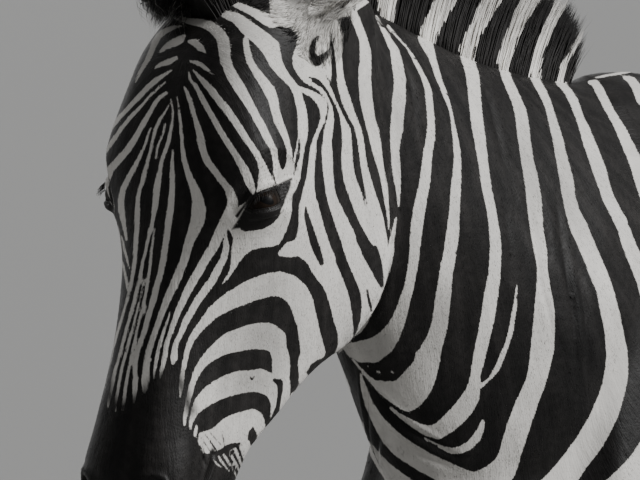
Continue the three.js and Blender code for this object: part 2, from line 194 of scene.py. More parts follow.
FACE_STRIPES = {
    "chin_hair_one": [(213, 459, 0.4), (217, 464, 0.9), (221, 467, 0.6)],
    "chin_hair_two": [(218.5, 456.5, 0.7), (222, 462, 1.2), (229, 471, 0.4)],
    "chin_hair_three": [(223.5, 454.5, 0.9), (227, 460, 1.4), (235, 473, 0.6), (237, 479, 0.4)],
    "chin_hair_four": [
        (229, 452, 1.1), (232, 457, 1.5), (236, 464, 1.1), (239.6, 472, 0.7), (241, 480, 0.4),
    ],
    "chin_hair_five": [
        (235, 449, 1.3), (237.6, 455, 1.5), (240.4, 462, 1), (243, 471, 0.6), (244, 480, 0.4),
    ],
    "chin_hair_six": [(240.5, 446, 1.5), (242.6, 452, 1.4), (244.6, 460, 0.8), (246, 470, 0.5)],
    "brow_arch": [
        (160, 13.5, 1.5), (170, 16.5, 2), (180, 18, 2.5), (190, 21.5, 3.2), (200, 22.7, 4), (210, 26, 5),
        (218, 32, 5.6), (223, 40, 6), (224.3, 50, 6), (225.3, 60, 5.3), (229, 70, 5.2), (234.5, 80, 5.5),
        (241, 90, 5.6), (252.7, 110, 4), (263.5, 130, 4.1), (274, 150, 3.3), (275.4, 160, 2.8),
        (276.6, 166, 3), (278.5, 172, 3.6),
    ],
    "temple_arch": [
        (205, 8.5, 1), (212, 9.5, 2), (220, 12, 3), (228, 15.5, 4.3), (235, 17.5, 5), (241, 22, 6.3),
        (247, 27.5, 7.3), (263, 40, 8.3), (270, 47, 9.3), (275.5, 62, 6.8), (280, 70, 5.4), (286, 77, 4.3),
        (292, 84, 3.8), (297, 91, 4), (301.7, 110, 4.7), (303, 120, 5), (303, 130, 5), (302.5, 138, 4.3),
        (302, 148, 2.6), (300.3, 158, 2.4), (296.5, 178, 3.6), (293, 188, 2.8), (289, 196, 3.2),
    ],
    "temple_sliver": [(299.2, 137, 1.2), (297.4, 148, 1.3), (295.2, 157, 1.3), (292.8, 170, 1.6)],
    "poll_arch": [(222, -4, 2.2), (229, 1.5, 2.6), (250, 10.5, 3.6), (266, 19, 6), (272, 22, 6)],
    "cheek_link": [
        (297, 87.5, 2), (311, 93.4, 3), (317.5, 97.8, 4.2), (322, 103, 4.6), (324, 110, 4),
        (323.7, 118, 2.8), (320.8, 125, 2), (317.3, 133, 1.7), (314.4, 141, 2), (312.8, 150, 3.1),
        (312, 160, 3), (310, 180, 4), (309, 190, 5.8), (308.5, 205, 8.6),
    ],
    "cheek_link_front": [
        (303, 203, 3.2), (301.4, 210, 2.8), (301.7, 220, 2.8), (302.3, 230, 4), (302, 238, 6),
    ],
    "cheek_link_back": [
        (312, 203, 5.6), (316.2, 220, 5.5), (319.4, 230, 5.3), (327, 250, 4.6), (330.5, 260, 5.5),
    ],
    "ear_root": [
        (309, 82, 1.6), (320.5, 89.5, 2.1), (326, 96, 1.9), (329.5, 103, 1.8), (331, 112, 2.3),
        (330.6, 120, 3.4), (328.5, 130, 4.4), (327.2, 140, 4.4), (327, 150, 5.1), (327.4, 160, 5.4),
        (328, 170, 5), (330, 190, 4.4), (332.4, 200, 5), (344.8, 230, 7.4), (353.5, 250, 7.6),
    ],
    "ear_second": [
        (322, 80, 3), (327, 87.5, 3.4), (331, 94, 2.6), (334.2, 101, 2), (342.8, 120, 3), (346, 130, 4.4),
        (346.9, 140, 4.7), (347.2, 160, 5.6), (348, 170, 5.9), (349.8, 180, 6.1), (361.4, 210, 6.8),
        (366, 220, 7), (375.5, 240, 5.6),
    ],
    "ear_third": [
        (333.5, 20, 3.4), (335.5, 30, 4.2), (337, 40, 4.4), (339, 62, 3.1), (340, 72, 3.1), (341, 82, 3.8),
        (343.2, 91, 4.3), (346, 100, 4.8), (349, 110, 4.6), (358.2, 130, 3.5), (360.6, 140, 3.1),
        (363, 160, 3), (364.8, 170, 3.3), (369.8, 190, 4.6), (372, 200, 5.8), (377.3, 220, 6.2),
        (381.6, 240, 5.6), (383.4, 250, 4.8), (384.8, 260, 3.4), (385.2, 270, 2.2), (384.8, 279, 1),
    ],
    "ear_fourth": [
        (352, 8, 3), (356, 20, 4), (363.6, 40, 4.2), (365.3, 50, 5.2), (365.6, 60, 5.8), (364.9, 70, 6.2),
        (364.8, 80, 6.3), (366.2, 100, 6.2), (370, 120, 5.4), (373, 130, 5.8), (375.4, 140, 5.2),
        (377, 150, 4.7), (381.4, 170, 3), (383.6, 180, 2.9), (385.2, 190, 2.8), (387.6, 210, 1.4),
        (388.6, 220, 1), (388.8, 229, 0.6),
    ],
    "temple_short": [
        (244.3, 36, 1.2), (245.6, 41, 2.6), (247, 50, 3.2), (249.4, 60, 3.4), (254.9, 70, 3.7),
        (269.3, 90, 5.6), (273.3, 100, 4.9), (275, 110, 4.5), (278.2, 120, 4.4), (286.5, 140, 2.9),
        (289.2, 150, 2.4), (289.6, 160, 2.8), (288.6, 167, 3), (286, 172.5, 3.8),
    ],
    "above_eye": [
        (193, 70, 0.8), (204, 82, 2.9), (211, 90, 3.6), (226.8, 110, 3.9), (234.8, 121, 3.7),
        (247, 140, 3.1), (254.2, 150, 3.1), (260, 160, 3), (264, 170, 4.3), (265.5, 180, 6.6),
    ],
    "inner_eye": [
        (188.5, 72, 0.7), (190.5, 80, 1.3), (195, 85, 1.8), (203.2, 100, 2.7), (219.6, 130, 3),
        (238.8, 160, 3.3), (244.6, 170, 4.2), (248.6, 180, 4.4), (252.4, 189, 3), (253.3, 194, 1),
    ],
    "tear_line": [
        (184.5, 87, 0.9), (187, 93, 1.9), (190, 100, 2.3), (195.6, 120, 2.6), (198.6, 130, 3.2),
        (201, 140, 4), (202.6, 150, 3.5), (206.4, 160, 3.6), (223.6, 183, 3.2), (229, 190, 4),
        (232.6, 200, 5.2), (231.6, 210, 6), (226.4, 219, 5.6), (212.2, 249, 4.8), (205.6, 259, 4.5),
        (188, 290, 4), (178.6, 310, 3.1), (167.8, 340, 2.1), (165.7, 350, 2.2), (164.2, 360, 2.3),
        (161.8, 370, 1.7), (160.3, 377, 0.7),
    ],
    "nose_wide": [
        (177, 97, 0.6), (179, 107, 1.1), (181.2, 130, 1.4), (182.4, 150, 2), (184, 160, 2.6),
        (187, 170, 2.8), (190.8, 180, 3.5), (195, 190, 4.7), (198, 200, 5.8), (199, 210, 7.2),
        (198, 220, 7), (190, 240, 4.9), (187, 250, 4.3), (184.2, 260, 4.2), (176.2, 280, 4.3),
        (166.8, 300, 3.8), (163, 310, 3.2), (155.6, 330, 2.9), (149, 350, 2.9), (147.2, 360, 3.1),
        (145.2, 380, 4.1), (145, 388, 2.8), (144, 393, 1),
    ],
    "nose_spur": [
        (170, 312, 0.6), (167.8, 320, 1.1), (160.8, 340, 1.6), (158.3, 350, 1.8), (156.3, 360, 1.9),
        (153.7, 379, 0.7),
    ],
    "nose_second": [
        (173, 150, 0.7), (172.2, 160, 1.6), (172.3, 170, 2.2), (172.2, 190, 2.9), (171.5, 200, 3),
        (170.5, 210, 3.3), (163.2, 260, 3.2), (161.4, 270, 3), (155.6, 290, 3.1), (153.2, 300, 3),
        (150, 310, 2.8), (144.7, 330, 2.6), (138, 350, 2.4), (135.6, 360, 2.3), (135, 370, 2.4),
        (135, 390, 2.7), (134, 403, 0.7),
    ],
    "nose_third": [
        (171, 99, 0.5), (172.7, 110, 0.9), (172.5, 120, 1.2), (169, 140, 1.9), (165.7, 150, 2.1),
        (161.8, 160, 1.8), (156.5, 190, 3.3), (154.3, 210, 2.7), (152.5, 220, 2), (147.7, 240, 1.7),
        (146, 250, 1.5), (143.2, 260, 1.5), (141.4, 270, 1.8), (134.8, 300, 1.9), (128.8, 320, 1.7),
        (121.2, 350, 1.6), (115.2, 370, 1.5), (109, 400, 1.4), (108, 407, 0.7),
    ],
    "nose_third_spur": [
        (165, 124, 0.8), (163.3, 132, 1.1), (161, 139, 1), (157.3, 147, 1), (155.6, 158, 0.8),
    ],
    "nose_fine": [
        (154.8, 228, 0.7), (151.6, 250, 1.2), (149.6, 270, 1.5), (146.7, 290, 1.7), (142.3, 310, 1.5),
        (139.2, 320, 1.3), (136.8, 330, 1.2), (135.2, 340, 1.4), (128.5, 370, 1.5), (125.2, 390, 1.7),
        (124, 400, 1.5), (122.8, 410, 0.7),
    ],
    "nose_finest": [
        (144.5, 277, 0.5), (139.6, 300, 0.9), (134.8, 320, 1.3), (121.5, 370, 1.5), (116, 400, 1.4),
        (115.6, 411, 0.7),
    ],
    "nose_middle": [
        (170, 103, 0.6), (165, 112, 1), (159.6, 120, 1.3), (155.3, 130, 1.6), (152.5, 140, 1.5),
        (150.7, 150, 1.3), (145.2, 170, 2.1), (143, 180, 2.4), (139.2, 190, 2.1), (137.8, 200, 2.3),
        (137.2, 220, 2.7), (134.7, 260, 2.1), (131.9, 280, 1.6), (127.2, 300, 1.4), (112.4, 350, 1.3),
        (105.7, 380, 1.5), (104, 388, 1),
    ],
    "far_inner": [
        (150.5, 128, 0.6), (147, 140, 1.2), (138.3, 160, 1.9), (132.9, 170, 2.5), (127.4, 180, 2.5),
        (122.8, 190, 2.9), (121, 200, 3.3), (121.5, 210, 3.3), (126.6, 240, 1),
    ],
    "far_side_low": [(121.5, 236, 0.6), (124.5, 250, 1.3), (127.5, 261, 1.2), (129, 268, 0.6)],
    "far_side_lower": [(122.5, 262, 0.8), (126.8, 282, 1.5), (127.5, 290, 0.9)],
    "far_brow": [
        (166, 93, 1.6), (160, 97, 2), (155, 103.5, 2.1), (134, 140, 3.1), (127.6, 150, 3.4),
        (111.4, 168, 3.7), (106.8, 178, 3.5), (105.4, 188, 3), (107, 197, 2.6), (111, 205, 1.2),
    ],
    "far_brow_second": [
        (165.5, 82, 0.7), (158, 88, 1.1), (150.3, 95.5, 1.2), (144, 103, 1.2), (130.5, 117, 1.9),
        (122.5, 127, 2), (109.2, 146, 2.3), (103.6, 153.5, 2.1), (100.5, 158, 1.4),
    ],
    "far_brow_third": [
        (172, 70, 0.9), (157, 79.5, 2.5), (149, 86, 2.8), (120, 117, 2), (112, 127, 1.6), (106, 136, 1.2),
    ],
    "far_patch": [(176, 58, 2), (170, 61.5, 2.8), (162, 64, 2.3), (155, 67.5, 1.1)],
    "far_patch_upper": [(184, 36, 1.8), (180, 40, 4), (172, 43.5, 4), (166, 46.7, 2.6), (160, 52, 1)],
    "far_temple": [
        (181, 26, 0.8), (172, 28, 2), (164.5, 31.5, 2.9), (158.2, 36.5, 3), (154.6, 43, 3),
        (151.6, 51, 2.8), (147.5, 60, 2.5), (138, 76, 1.4), (135.5, 82, 0.7),
    ],
    "far_edge": [(158, 21, 1.6), (154, 25, 2.1), (150.5, 30, 1.8), (147.5, 36, 0.9), (140, 58, 0.6)],
    "crown_patch": [(189, 41.5, 1.6), (195, 42.5, 3.6), (200.5, 48, 3.4), (205, 52, 1)],
    "crown_second": [(189, 61, 0.8), (196, 62.5, 2.1), (202.5, 65.5, 2.2), (208, 70, 1.6), (212, 74, 0.6)],
    "under_eye_spur": [
        (226, 230, 0.8), (225.7, 240, 1.9), (226, 249, 3.1), (223.4, 259, 3.3), (212.6, 280, 4),
        (198, 300, 3.7), (186.6, 320, 3.3), (177.6, 340, 2.4), (174.6, 350, 2.8), (174, 358, 3.6),
        (172.6, 363, 1.6),
    ],
    "cheek_first": [
        (180, 397, 0.8), (181.3, 386, 2.3), (182.3, 374, 2.1), (187, 351, 2.5), (191, 340, 3.2),
        (197, 331, 3.6), (205, 321.5, 4.6), (213, 312.5, 6.2), (221.5, 306, 7.6), (230, 301, 8.6),
        (250, 291, 10.8), (260, 287.5, 11.2), (270, 284.5, 11.6), (280, 284, 12.4), (289, 287, 12.4),
        (297, 294, 12.2), (301.5, 303, 11.8), (307.4, 323, 10.6), (309.2, 333, 10.6), (313, 352, 12.2),
    ],
    "cheek_second": [
        (184.6, 425, 0.9), (185.2, 415, 2.1), (190.2, 392, 2.5), (193.6, 380, 2.9), (198, 370, 3.6),
        (204, 361.5, 4.6), (212, 354, 6.2), (221, 347.5, 8.2), (230, 342.5, 10.4), (250, 337, 12.2),
        (260, 336, 13.2), (268, 336.5, 13.4), (274, 340, 12.4), (278, 349, 8.6), (281, 358, 8.4),
        (281.2, 366, 9.2), (281, 373, 8.6), (285.4, 381, 4.2), (286.2, 390, 4), (285.4, 398, 4.6),
        (280.6, 410, 1),
    ],
    "cheek_third": [
        (190, 429, 0.8), (191, 421, 1.8), (195, 411, 4), (201, 402.5, 6.8), (209, 395.5, 8.8),
        (219, 389.5, 9.8), (230, 385, 10.9), (240, 382, 11.2), (250, 381, 10.8), (260, 380.6, 11.7),
        (267, 383.6, 11), (271, 391, 6.6), (273.2, 398, 4.4), (273.8, 405, 2.6), (272.4, 412, 1.8),
        (270.4, 418, 0.8),
    ],
    "lip_spot": [(196.8, 426, 1), (195.8, 431, 1.7), (195, 436, 1)],
}

# White outlines, each a closed line of (across, down) in pixels.
FACE_PATCHES = {
    "above_lid": [
        (273.5, 167), (279, 167), (282, 170), (285.5, 168.5), (287, 162), (292.5, 162), (293.5, 172),
        (300, 171),
        (300, 179), (297, 186), (293, 190), (290.5, 181), (280, 184.3), (274.5, 185.5), (272.5, 176),
    ],
    "lid_wedge": [
        (257, 160), (262.5, 160), (266, 166), (270, 173), (274, 182), (273, 186.5), (262, 190.5),
        (256, 193),
        (258, 186), (258.5, 180), (259.5, 170),
    ],
    "under_eye": [
        (291, 181), (292.5, 190), (292, 200), (292, 210), (290, 220), (287, 229), (283, 238), (279, 244),
        (273, 246.5), (262, 247.5), (252, 250), (244, 256), (238, 264), (233, 272), (228, 279),
        (221.5, 285),
        (224, 280), (229, 272), (231, 263), (231.7, 250), (233.5, 238), (231, 233), (226, 226), (228, 216),
        (232, 209), (238, 207), (244, 203.5), (250, 199), (247, 210), (242, 221), (240, 229), (245, 231.5),
        (255, 230.5), (262, 229.5), (270, 225.5), (278, 218.5), (281, 210), (284, 203), (286, 197),
        (289, 189),
    ],
    "ear_foot": [
        (268, -20), (270, 12), (274, 26), (290, 28), (298, 36), (296, 46), (292.5, 56), (293, 66),
        (297, 74),
        (304, 82), (311, 86), (312, 80), (318, 80), (326, 88), (331, 82), (331.5, 62), (329, 50), (330, 30),
        (334, 20), (352, 14), (372, 0), (372, -20),
    ],
    "cheek_back": [
        (299, 203), (317, 200), (319.5, 210), (322, 220), (325, 230), (328.3, 240), (331, 250),
        (334.7, 260),
        (339, 270), (343.3, 280), (347, 290), (350, 300), (351.5, 310), (352.3, 320), (353.4, 330),
        (353, 337),
        (349, 342.5), (342, 350.5), (336, 356), (329, 361), (333, 356), (336.3, 350), (338, 345),
        (338, 338),
        (337, 330), (334, 321), (331, 311), (329, 302), (326, 293), (322, 285), (317, 279.5), (312, 272),
        (308, 264), (303, 259), (298, 256), (290, 257.3), (279, 256), (278, 253), (280.5, 249.5),
        (284, 245),
        (288, 242), (294, 240.5), (298.5, 236), (299, 225),
    ],
    "jaw_back": [
        (340, 238), (343.5, 250), (347, 260), (351, 270), (355.5, 280), (360, 290), (361.5, 300),
        (361.5, 310),
        (360.3, 320), (357.5, 330), (354, 337.5), (362, 331.5), (368, 322), (373, 312), (379.5, 301),
        (383, 291),
        (380, 286.5), (375, 278.5), (371, 270), (364.5, 259), (359.8, 250), (356, 240), (352, 232),
        (342, 232),
    ],
    "jaw_foot": [
        (301, 350), (325, 350), (323, 357), (318, 361), (311, 366), (306, 373), (310, 378.5), (318, 368),
        (330, 361), (338, 357), (340, 357), (310, 379), (302, 387), (291, 399), (290.5, 394), (296, 390),
        (299, 383), (299, 372), (298, 362),
    ],
    "chin_white": [
        (199, 433), (205, 431.3), (212, 429), (218, 424), (224, 418), (230, 415.5), (237, 413), (245, 411),
        (253, 408.5), (258, 411), (262, 413), (263.5, 418), (265, 424), (265.5, 428), (258, 439),
        (252, 450),
        (246, 460), (244.5, 452), (243, 446), (240, 442.5), (232, 443), (226, 445), (222, 448),
        (216, 451.5),
        (208, 453.5), (203, 453), (200, 449), (198, 441),
    ],
}

# Dark strokes laid over the white ones.
FACE_DARK = {
    "ear_crescent": [
        (318, 37, 1.4), (313.5, 42, 2.6), (311.8, 50, 3), (313, 58, 4.2), (317, 61.5, 5), (322, 58.5, 4.2),
        (326, 55, 3.2), (328.5, 51, 1.4),
    ],
    "ear_crescent_back": [(330, 29, 0.9), (331, 50, 1.5), (334.6, 70, 1.8), (334.5, 82, 2.3)],
    "ear_line_one": [
        (309, 77.5, 0.8), (313, 78.5, 1.6), (318, 81.5, 2), (323, 86.5, 1.8), (327, 92, 1.5),
        (334, 106, 1.8), (336.5, 114, 2.6), (337.5, 122, 3.2),
    ],
    "ear_line_two": [
        (334.5, 84, 2.4), (336, 92, 2.4), (338.6, 100, 2.2), (342, 108, 2), (348.5, 121, 2.1),
        (352.5, 128, 2.3),
    ],
    "ear_line_thin": [
        (301, 83, 1.3), (307, 87.3, 1.2), (314, 90.3, 1.1), (320, 93.5, 1), (325.3, 98, 0.8),
        (328, 105, 0.8), (328, 112, 0.9), (326, 119, 1.4),
    ],
    "ear_nick": [(326, 75.5, 0.8), (328, 79, 1), (330.5, 81.5, 0.7)],
    "temple_slit": [(299.5, 139, 0.4), (298.5, 147, 1), (293.6, 174, 0.4)],
    "cheek_tongue": [
        (306, 207, 0.6), (306.2, 213, 2), (307.6, 220, 2.9), (313.3, 240, 4.1), (316.6, 250, 4.1),
        (320, 258, 3.3), (321.7, 263.5, 2.3),
    ],
    "jaw_slit": [(361.7, 190, 0.6), (363.6, 198, 0.9), (365.5, 206, 0.5)],
    "jaw_back_dark": [
        (360, 238, 4.6), (364.3, 246, 5.2), (369.8, 254, 5.6), (374.6, 262, 5.4), (378.3, 270, 4.6),
        (380.8, 278, 3.1), (382.6, 286, 1.2),
    ],
    "jaw_streak": [(367, 288.5, 0.9), (368, 296, 1.3), (370, 304, 1.7), (371.4, 311, 0.9)],
    "jaw_hook": [(308.8, 372.5, 2.4), (313, 367.5, 3.6), (318.5, 362.5, 3), (333, 356, 1)],
    "jaw_fork": [
        (274.5, 380.5, 2), (279.5, 382.5, 3.6), (280.3, 389, 2.3), (278, 406, 2.2), (274.6, 414, 2),
        (271, 421, 1),
    ],
    "jaw_dot": [(300.5, 385.5, 1.3), (300, 389, 1.3)],
    "chin_diamond": [(253, 427, 0.8), (252.5, 433, 4), (252.5, 437.5, 5), (252.4, 447, 0.8)],
    # The chin's crease strokes are painted shade in the chin's creases.
    "chin_crease_shade_one": [(196.5, 441, 0.4), (201, 448, 0.8), (207, 456, 0.6)],
    "chin_crease_shade_two": [(201, 437.5, 0.4), (212, 454, 0.6)],
    "chin_crease_shade_three": [(205.5, 434.5, 0.4), (210.5, 442, 0.8), (216.5, 450.5, 0.6)],
    "chin_crease_shade_four": [(210.5, 433, 0.4), (222.5, 446.5, 0.5)],
    "chin_crease_shade_five": [(222, 431.5, 0.4), (223.4, 439, 0.7), (224.2, 445.5, 0.4)],
    "chin_band": [(206, 457.5, 1.2), (221, 451.5, 2), (229, 447.5, 1.9), (236, 444.5, 1)],
    "cheek_flecks": [(250.6, 377, 0.6), (251.4, 380, 0.8), (253.6, 378.2, 0.6), (254.2, 376.4, 0.5)],
    "temple_thread": [(300.9, 138, 0.5), (298.6, 155.7, 1.3), (293.6, 177, 0.5)],
    "eye_slit": [(272.6, 172, 0.7), (275.6, 184, 0.9)],
}

NECK_STRIPES = {
    "first": [
        (376, 16, 0.8), (394.2, 50, 4.2), (396.7, 60, 5.2), (400, 80, 5.9), (399.7, 90, 5.8),
        (399, 100, 6.9), (398.2, 110, 6.2), (396.5, 130, 6.3), (395.3, 140, 5.1), (394.8, 150, 4.3),
        (396.4, 170, 4.1), (398.5, 190, 2.4), (398.5, 207, 0.6),
    ],
    "first_low": [
        (396, 218, 0.8), (391.6, 242, 2.6), (391, 252, 2.9), (389.5, 262, 2.5), (387.4, 272, 2),
        (382, 292, 1),
    ],
    "second": [
        (388, 26, 1.3), (401, 41, 1), (408, 48, 1), (422, 74, 2.2), (426, 83, 2.9), (428.5, 92, 3.4),
        (431, 120, 3.6), (431, 130, 4), (430.3, 140, 4.4), (428.2, 150, 4.5), (427, 160, 4.7),
        (425.2, 180, 5.2), (419, 210, 6), (416.4, 230, 5.9), (413.8, 260, 4.8), (410.4, 280, 4.7),
        (408, 290, 5), (405, 300, 5.2), (402, 311, 6), (397.8, 322, 7.2), (391.5, 334, 9.2),
        (383.5, 344, 11.2), (373, 350.5, 12.2), (362, 351.5, 11), (352, 349.5, 7), (346, 348, 3),
    ],
    "third": [
        (425, 38, 7), (428, 47, 5.6), (431.5, 55, 3.8), (434, 63, 3.2), (440, 82, 2.6), (444.4, 92, 2.4),
        (448, 102, 1.9), (451, 112, 1.5), (452.8, 122, 1.6), (456, 142, 2.9), (457.2, 152, 3.4),
        (457.5, 162, 3.6), (456.4, 182, 4.8), (455.5, 192, 5), (454.6, 212, 5.2), (452.8, 232, 6.3),
        (450.2, 252, 6.5), (448, 262, 6.5), (445, 282, 6.9), (443.8, 292, 7.5), (440.2, 322, 7.9),
        (437.8, 332, 8.5), (434.2, 342, 9.2), (427, 360, 12),
    ],
    "fourth": [
        (465.5, 47, 7), (467, 57, 6.4), (470, 66, 6), (472.7, 76, 6.6), (475, 100, 6), (477.3, 124, 6.1),
        (479.2, 134, 5.8), (484.4, 170, 4.7), (485.4, 180, 4.8), (487, 190, 4.9), (491.5, 210, 4.5),
        (494.4, 230, 5.1), (495.4, 242, 5.5), (495.7, 254, 5.6), (494.2, 274, 5.9), (493, 284, 6.4),
        (491.2, 294, 6.9), (488, 316, 6.7), (484, 336, 6.5), (481.4, 346, 6.3), (479.4, 356, 6.2),
        (475.3, 376, 4.9), (474.2, 386, 6.3), (471, 397, 8.6), (464.6, 407, 9.4), (457, 416, 9.2),
        (447.5, 424.5, 8.8), (437.5, 431.5, 7.6), (428, 431, 5.4), (418, 427, 3.8), (399, 415, 1.8),
        (391, 408, 1.3),
    ],
    "fourth_spur": [
        (517, 285, 0.6), (515.8, 300, 1.7), (514.4, 310, 1.9), (511, 330, 2.3), (508.4, 340, 2.2),
        (505.2, 349, 2.3), (496.8, 369, 2.6), (492.2, 376, 1.6), (487.5, 380.5, 1.2), (482.5, 385, 2),
    ],
    "fifth": [
        (503, 62, 6.4), (504.6, 70, 4.9), (507.2, 80, 4.8), (516.6, 100, 4.9), (520, 110, 5.8),
        (522, 120, 6.1), (523.2, 130, 6.4), (524.4, 140, 6), (527.2, 160, 6.1), (531.4, 180, 7.1),
        (533, 190, 7.2), (534, 200, 7.4), (537, 230, 6.6), (538.4, 240, 6.6), (540.4, 250, 6.5),
        (541.8, 260, 5.5), (542.2, 270, 5.2), (543, 280, 6), (544.3, 310, 10), (544, 330, 11),
        (542.2, 350, 11.7), (538.8, 370, 10.4), (536.4, 380, 9.9), (528.2, 400, 10.4), (524.4, 410, 11.2),
        (520.6, 420, 11.2), (514, 440, 11.4), (511, 450, 10.9), (508.4, 460, 11), (503, 470, 13),
        (494, 479, 14.5), (480, 486, 15),
    ],
    "short_hook": [
        (482.6, 421.5, 2), (480.6, 430, 3.4), (476.4, 438, 4.2), (469.5, 445.5, 4.1), (460.5, 450, 3.7),
        (452, 451, 3.2), (444, 448.3, 1.9), (434, 443.3, 1), (424, 438.3, 0.7),
    ],
    "back_edge": [(594, 78, 0.5), (604, 76, 1.1), (632, 71, 1.2), (646, 69, 1.2)],
    "throat_fleck_one": [(367.5, 366, 0.5), (371, 367.8, 0.7)],
    "throat_fleck_two": [(376, 371.4, 1), (379.5, 372.4, 0.8)],
    "throat_fleck_three": [(391, 371.6, 0.7), (393.4, 372.8, 0.5)],
    "breast_first": [
        (361, 374, 1.2), (363, 385, 2.4), (366, 396, 3.6), (370, 406, 4.3), (376, 417, 5.4),
        (383, 428, 7.4), (391, 438, 9.2), (400, 446.5, 10), (410, 453.5, 10.2), (420, 459.5, 10.4),
        (440, 470, 10.8), (466, 481.5, 11), (480, 485, 12),
    ],
    "breast_second": [
        (363, 436, 1), (370, 446, 2.8), (376.5, 457, 4.8), (383.5, 466.5, 6.2), (391, 474, 7.4),
        (409, 490, 10), (424, 502, 12), (440, 512, 13), (460, 520, 13), (478, 522, 12),
    ],
    "sixth": [
        (533, 74, 4.4), (535.6, 80, 4), (541.4, 90, 4.2), (546.4, 100, 3.8), (549.8, 110, 3.7),
        (558, 140, 5.1), (562, 160, 5.8), (566.6, 180, 6.8), (568, 190, 6.9), (569.4, 200, 6.2),
        (572, 210, 6.7), (576, 220, 8.2), (580.2, 230, 8.7), (584.6, 240, 8), (597, 270, 8.8),
        (604.8, 290, 8.5), (611.9, 320, 9.1), (613.8, 330, 9.1), (616.6, 350, 10.4), (617, 360, 11),
        (616.6, 370, 11.5), (615.4, 380, 12.2), (613, 390, 11.9), (610, 400, 12.5), (606.4, 410, 13.2),
        (602, 420, 12.9), (590.8, 440, 13.4), (583.8, 450, 13.1), (576, 460, 12.8), (569, 470, 13.3),
        (561, 480, 13.8), (550, 492, 14.5), (536, 503, 15), (520, 510, 14),
    ],
    "seventh": [
        (557, 78, 3.4), (560.4, 83, 3.7), (567, 90, 3.7), (573.4, 100, 4.3), (580.6, 120, 4),
        (585, 130, 5.2), (588.2, 140, 5.8), (592, 150, 6.4), (595.8, 160, 6.3), (599.2, 170, 6.9),
        (605.4, 190, 5.6), (609, 200, 5.9), (620.2, 220, 6.1), (624.4, 230, 6.2), (627.2, 240, 6.5),
        (631.2, 250, 6.9), (644.6, 280, 7.9), (648, 292, 8.1), (655, 330, 9), (657.4, 350, 9.6),
        (659, 370, 10.2), (660, 390, 10.8), (660, 410, 11.6), (658, 428, 12.4), (654, 444, 13.2),
        (646, 459, 13.6), (636, 471, 14), (626, 482, 14.4), (612, 495, 15),
    ],
    "eighth": [
        (590, 82.5, 2), (595, 83, 3.6), (599.3, 90, 4.4), (609.4, 110, 4.1), (615.4, 120, 4.2),
        (621, 130, 5.1), (634.8, 160, 6.3), (638.8, 170, 6.9), (641.8, 180, 7.3), (654, 214, 7.4),
        (660, 234, 7),
    ],
    "ninth": [(624, 77.5, 1.5), (631, 79.5, 4), (637, 88, 4.8), (641.6, 100, 5)],
}

NECK_PATCHES = {
    "third_foot": [
        (416, 352), (441, 352), (440, 362), (437.5, 371), (435, 382), (431, 391), (426, 399), (420, 406),
        (413.5, 410), (408, 412), (400, 409), (390, 402), (380, 394), (372, 385), (364, 375), (356, 365),
        (349, 356.5), (353, 358), (360, 366.5), (368, 375), (375, 380), (385, 381.5), (396, 381),
        (400, 377),
        (406, 370), (414, 361),
    ],
}

MANE_STRIPES = {
    "crown_one": [(350, -140, 8), (349, -100, 9), (346, -60, 9), (344, -24, 7)],
    "crown_two": [(304, -150, 8), (307, -110, 9), (309, -70, 9), (310, -30, 7)],
    "crown_three": [(262, -150, 7), (268, -110, 8), (274, -70, 8), (280, -34, 6)],
    "first": [
        (404, -96, 10), (397, -50, 11), (389, -14, 11), (387, 0, 10.5), (385.5, 10, 7.5), (387, 20, 5),
        (391, 29, 1.8),
    ],
    "third": [
        (488, -84, 9), (474, -56, 10), (460, -26, 10), (452, -10, 10.5), (445, 0, 10.3), (440.5, 10, 9.6),
        (428.5, 30, 8.6), (425.5, 38, 7.5),
    ],
    "fourth": [
        (532, -78, 9), (519, -56, 10), (506, -30, 10), (497, -10, 10), (490.5, 0, 9.6), (480.5, 20, 7.6),
        (474.5, 30, 6.9), (468.7, 40, 7), (465.5, 50, 7),
    ],
    "fifth": [
        (562, -56, 9), (546, -30, 10), (537, -10, 10), (530, 0, 9.6), (523.5, 10, 8.2), (514, 30, 6.2),
        (506, 50, 6.8), (503, 60, 6.4),
    ],
    "sixth": [
        (574, -20, 7), (566, -8, 6.4), (557, 11, 5), (543, 40, 4.8), (538.6, 50, 4.3), (535.3, 60, 4.4),
        (533, 70, 4.3),
    ],
    "seventh": [(588, 22, 2), (580, 38, 2.4), (562, 68, 2.5), (558, 76, 3)],
}

# Painted shade on the whites: (across, down, reach) in pixels and how much light they lose; a negative amount
# paints light instead.
PAINTED_SHADE_AND_LIGHT = [
    ((262, 338, 34), 0.30), ((250, 384, 30), 0.36), ((215, 446, 20), 0.20), ((270, 288, 20), 0.12),
    ((224, 56, 34), 0.34), ((200, 22, 22), 0.30), ((442, 322, 34), 0.26), ((392, 352, 34), 0.30),
    ((526, 150, 46), 0.18), ((567, 195, 36), 0.14), ((398, 110, 30), 0.20), ((545, 330, 30), 0.12),
    ((430, 450, 50), 0.22), ((247, 470, 22), 0.30), ((300, 60, 22), 0.10), ((360, 330, 30), 0.12),
    ((530, 170, 40), 0.10), ((567, 200, 50), 0.10), ((612, 370, 60), 0.16), ((442, 312, 26), 0.14),
    ((266, 285, 30), 0.10), ((262, 338, 30), 0.12), ((284, 171, 12), -0.26), ((486, 326, 24), -0.14),
    ((233, 466, 16), 0.32),
    ((334, 11, 6), 0.70), ((327, 21, 5), 0.45), ((321, 29, 4), 0.30), ((316, 8, 26), 0.20),
    ((303, 20, 20), 0.12),
]

# Painted shade on the black hair: ((across, down, reach), amount).
PAINTED_SHADE_ON_BLACK = [
    ((580, 335, 70), 0.50), ((430, 425, 50), 0.60), ((520, 430, 60), 0.40), ((497, 110, 40), 0.26),
    ((520, 250, 50), 0.16), ((165, 410, 26), 0.30), ((630, 430, 60), 0.45),
]

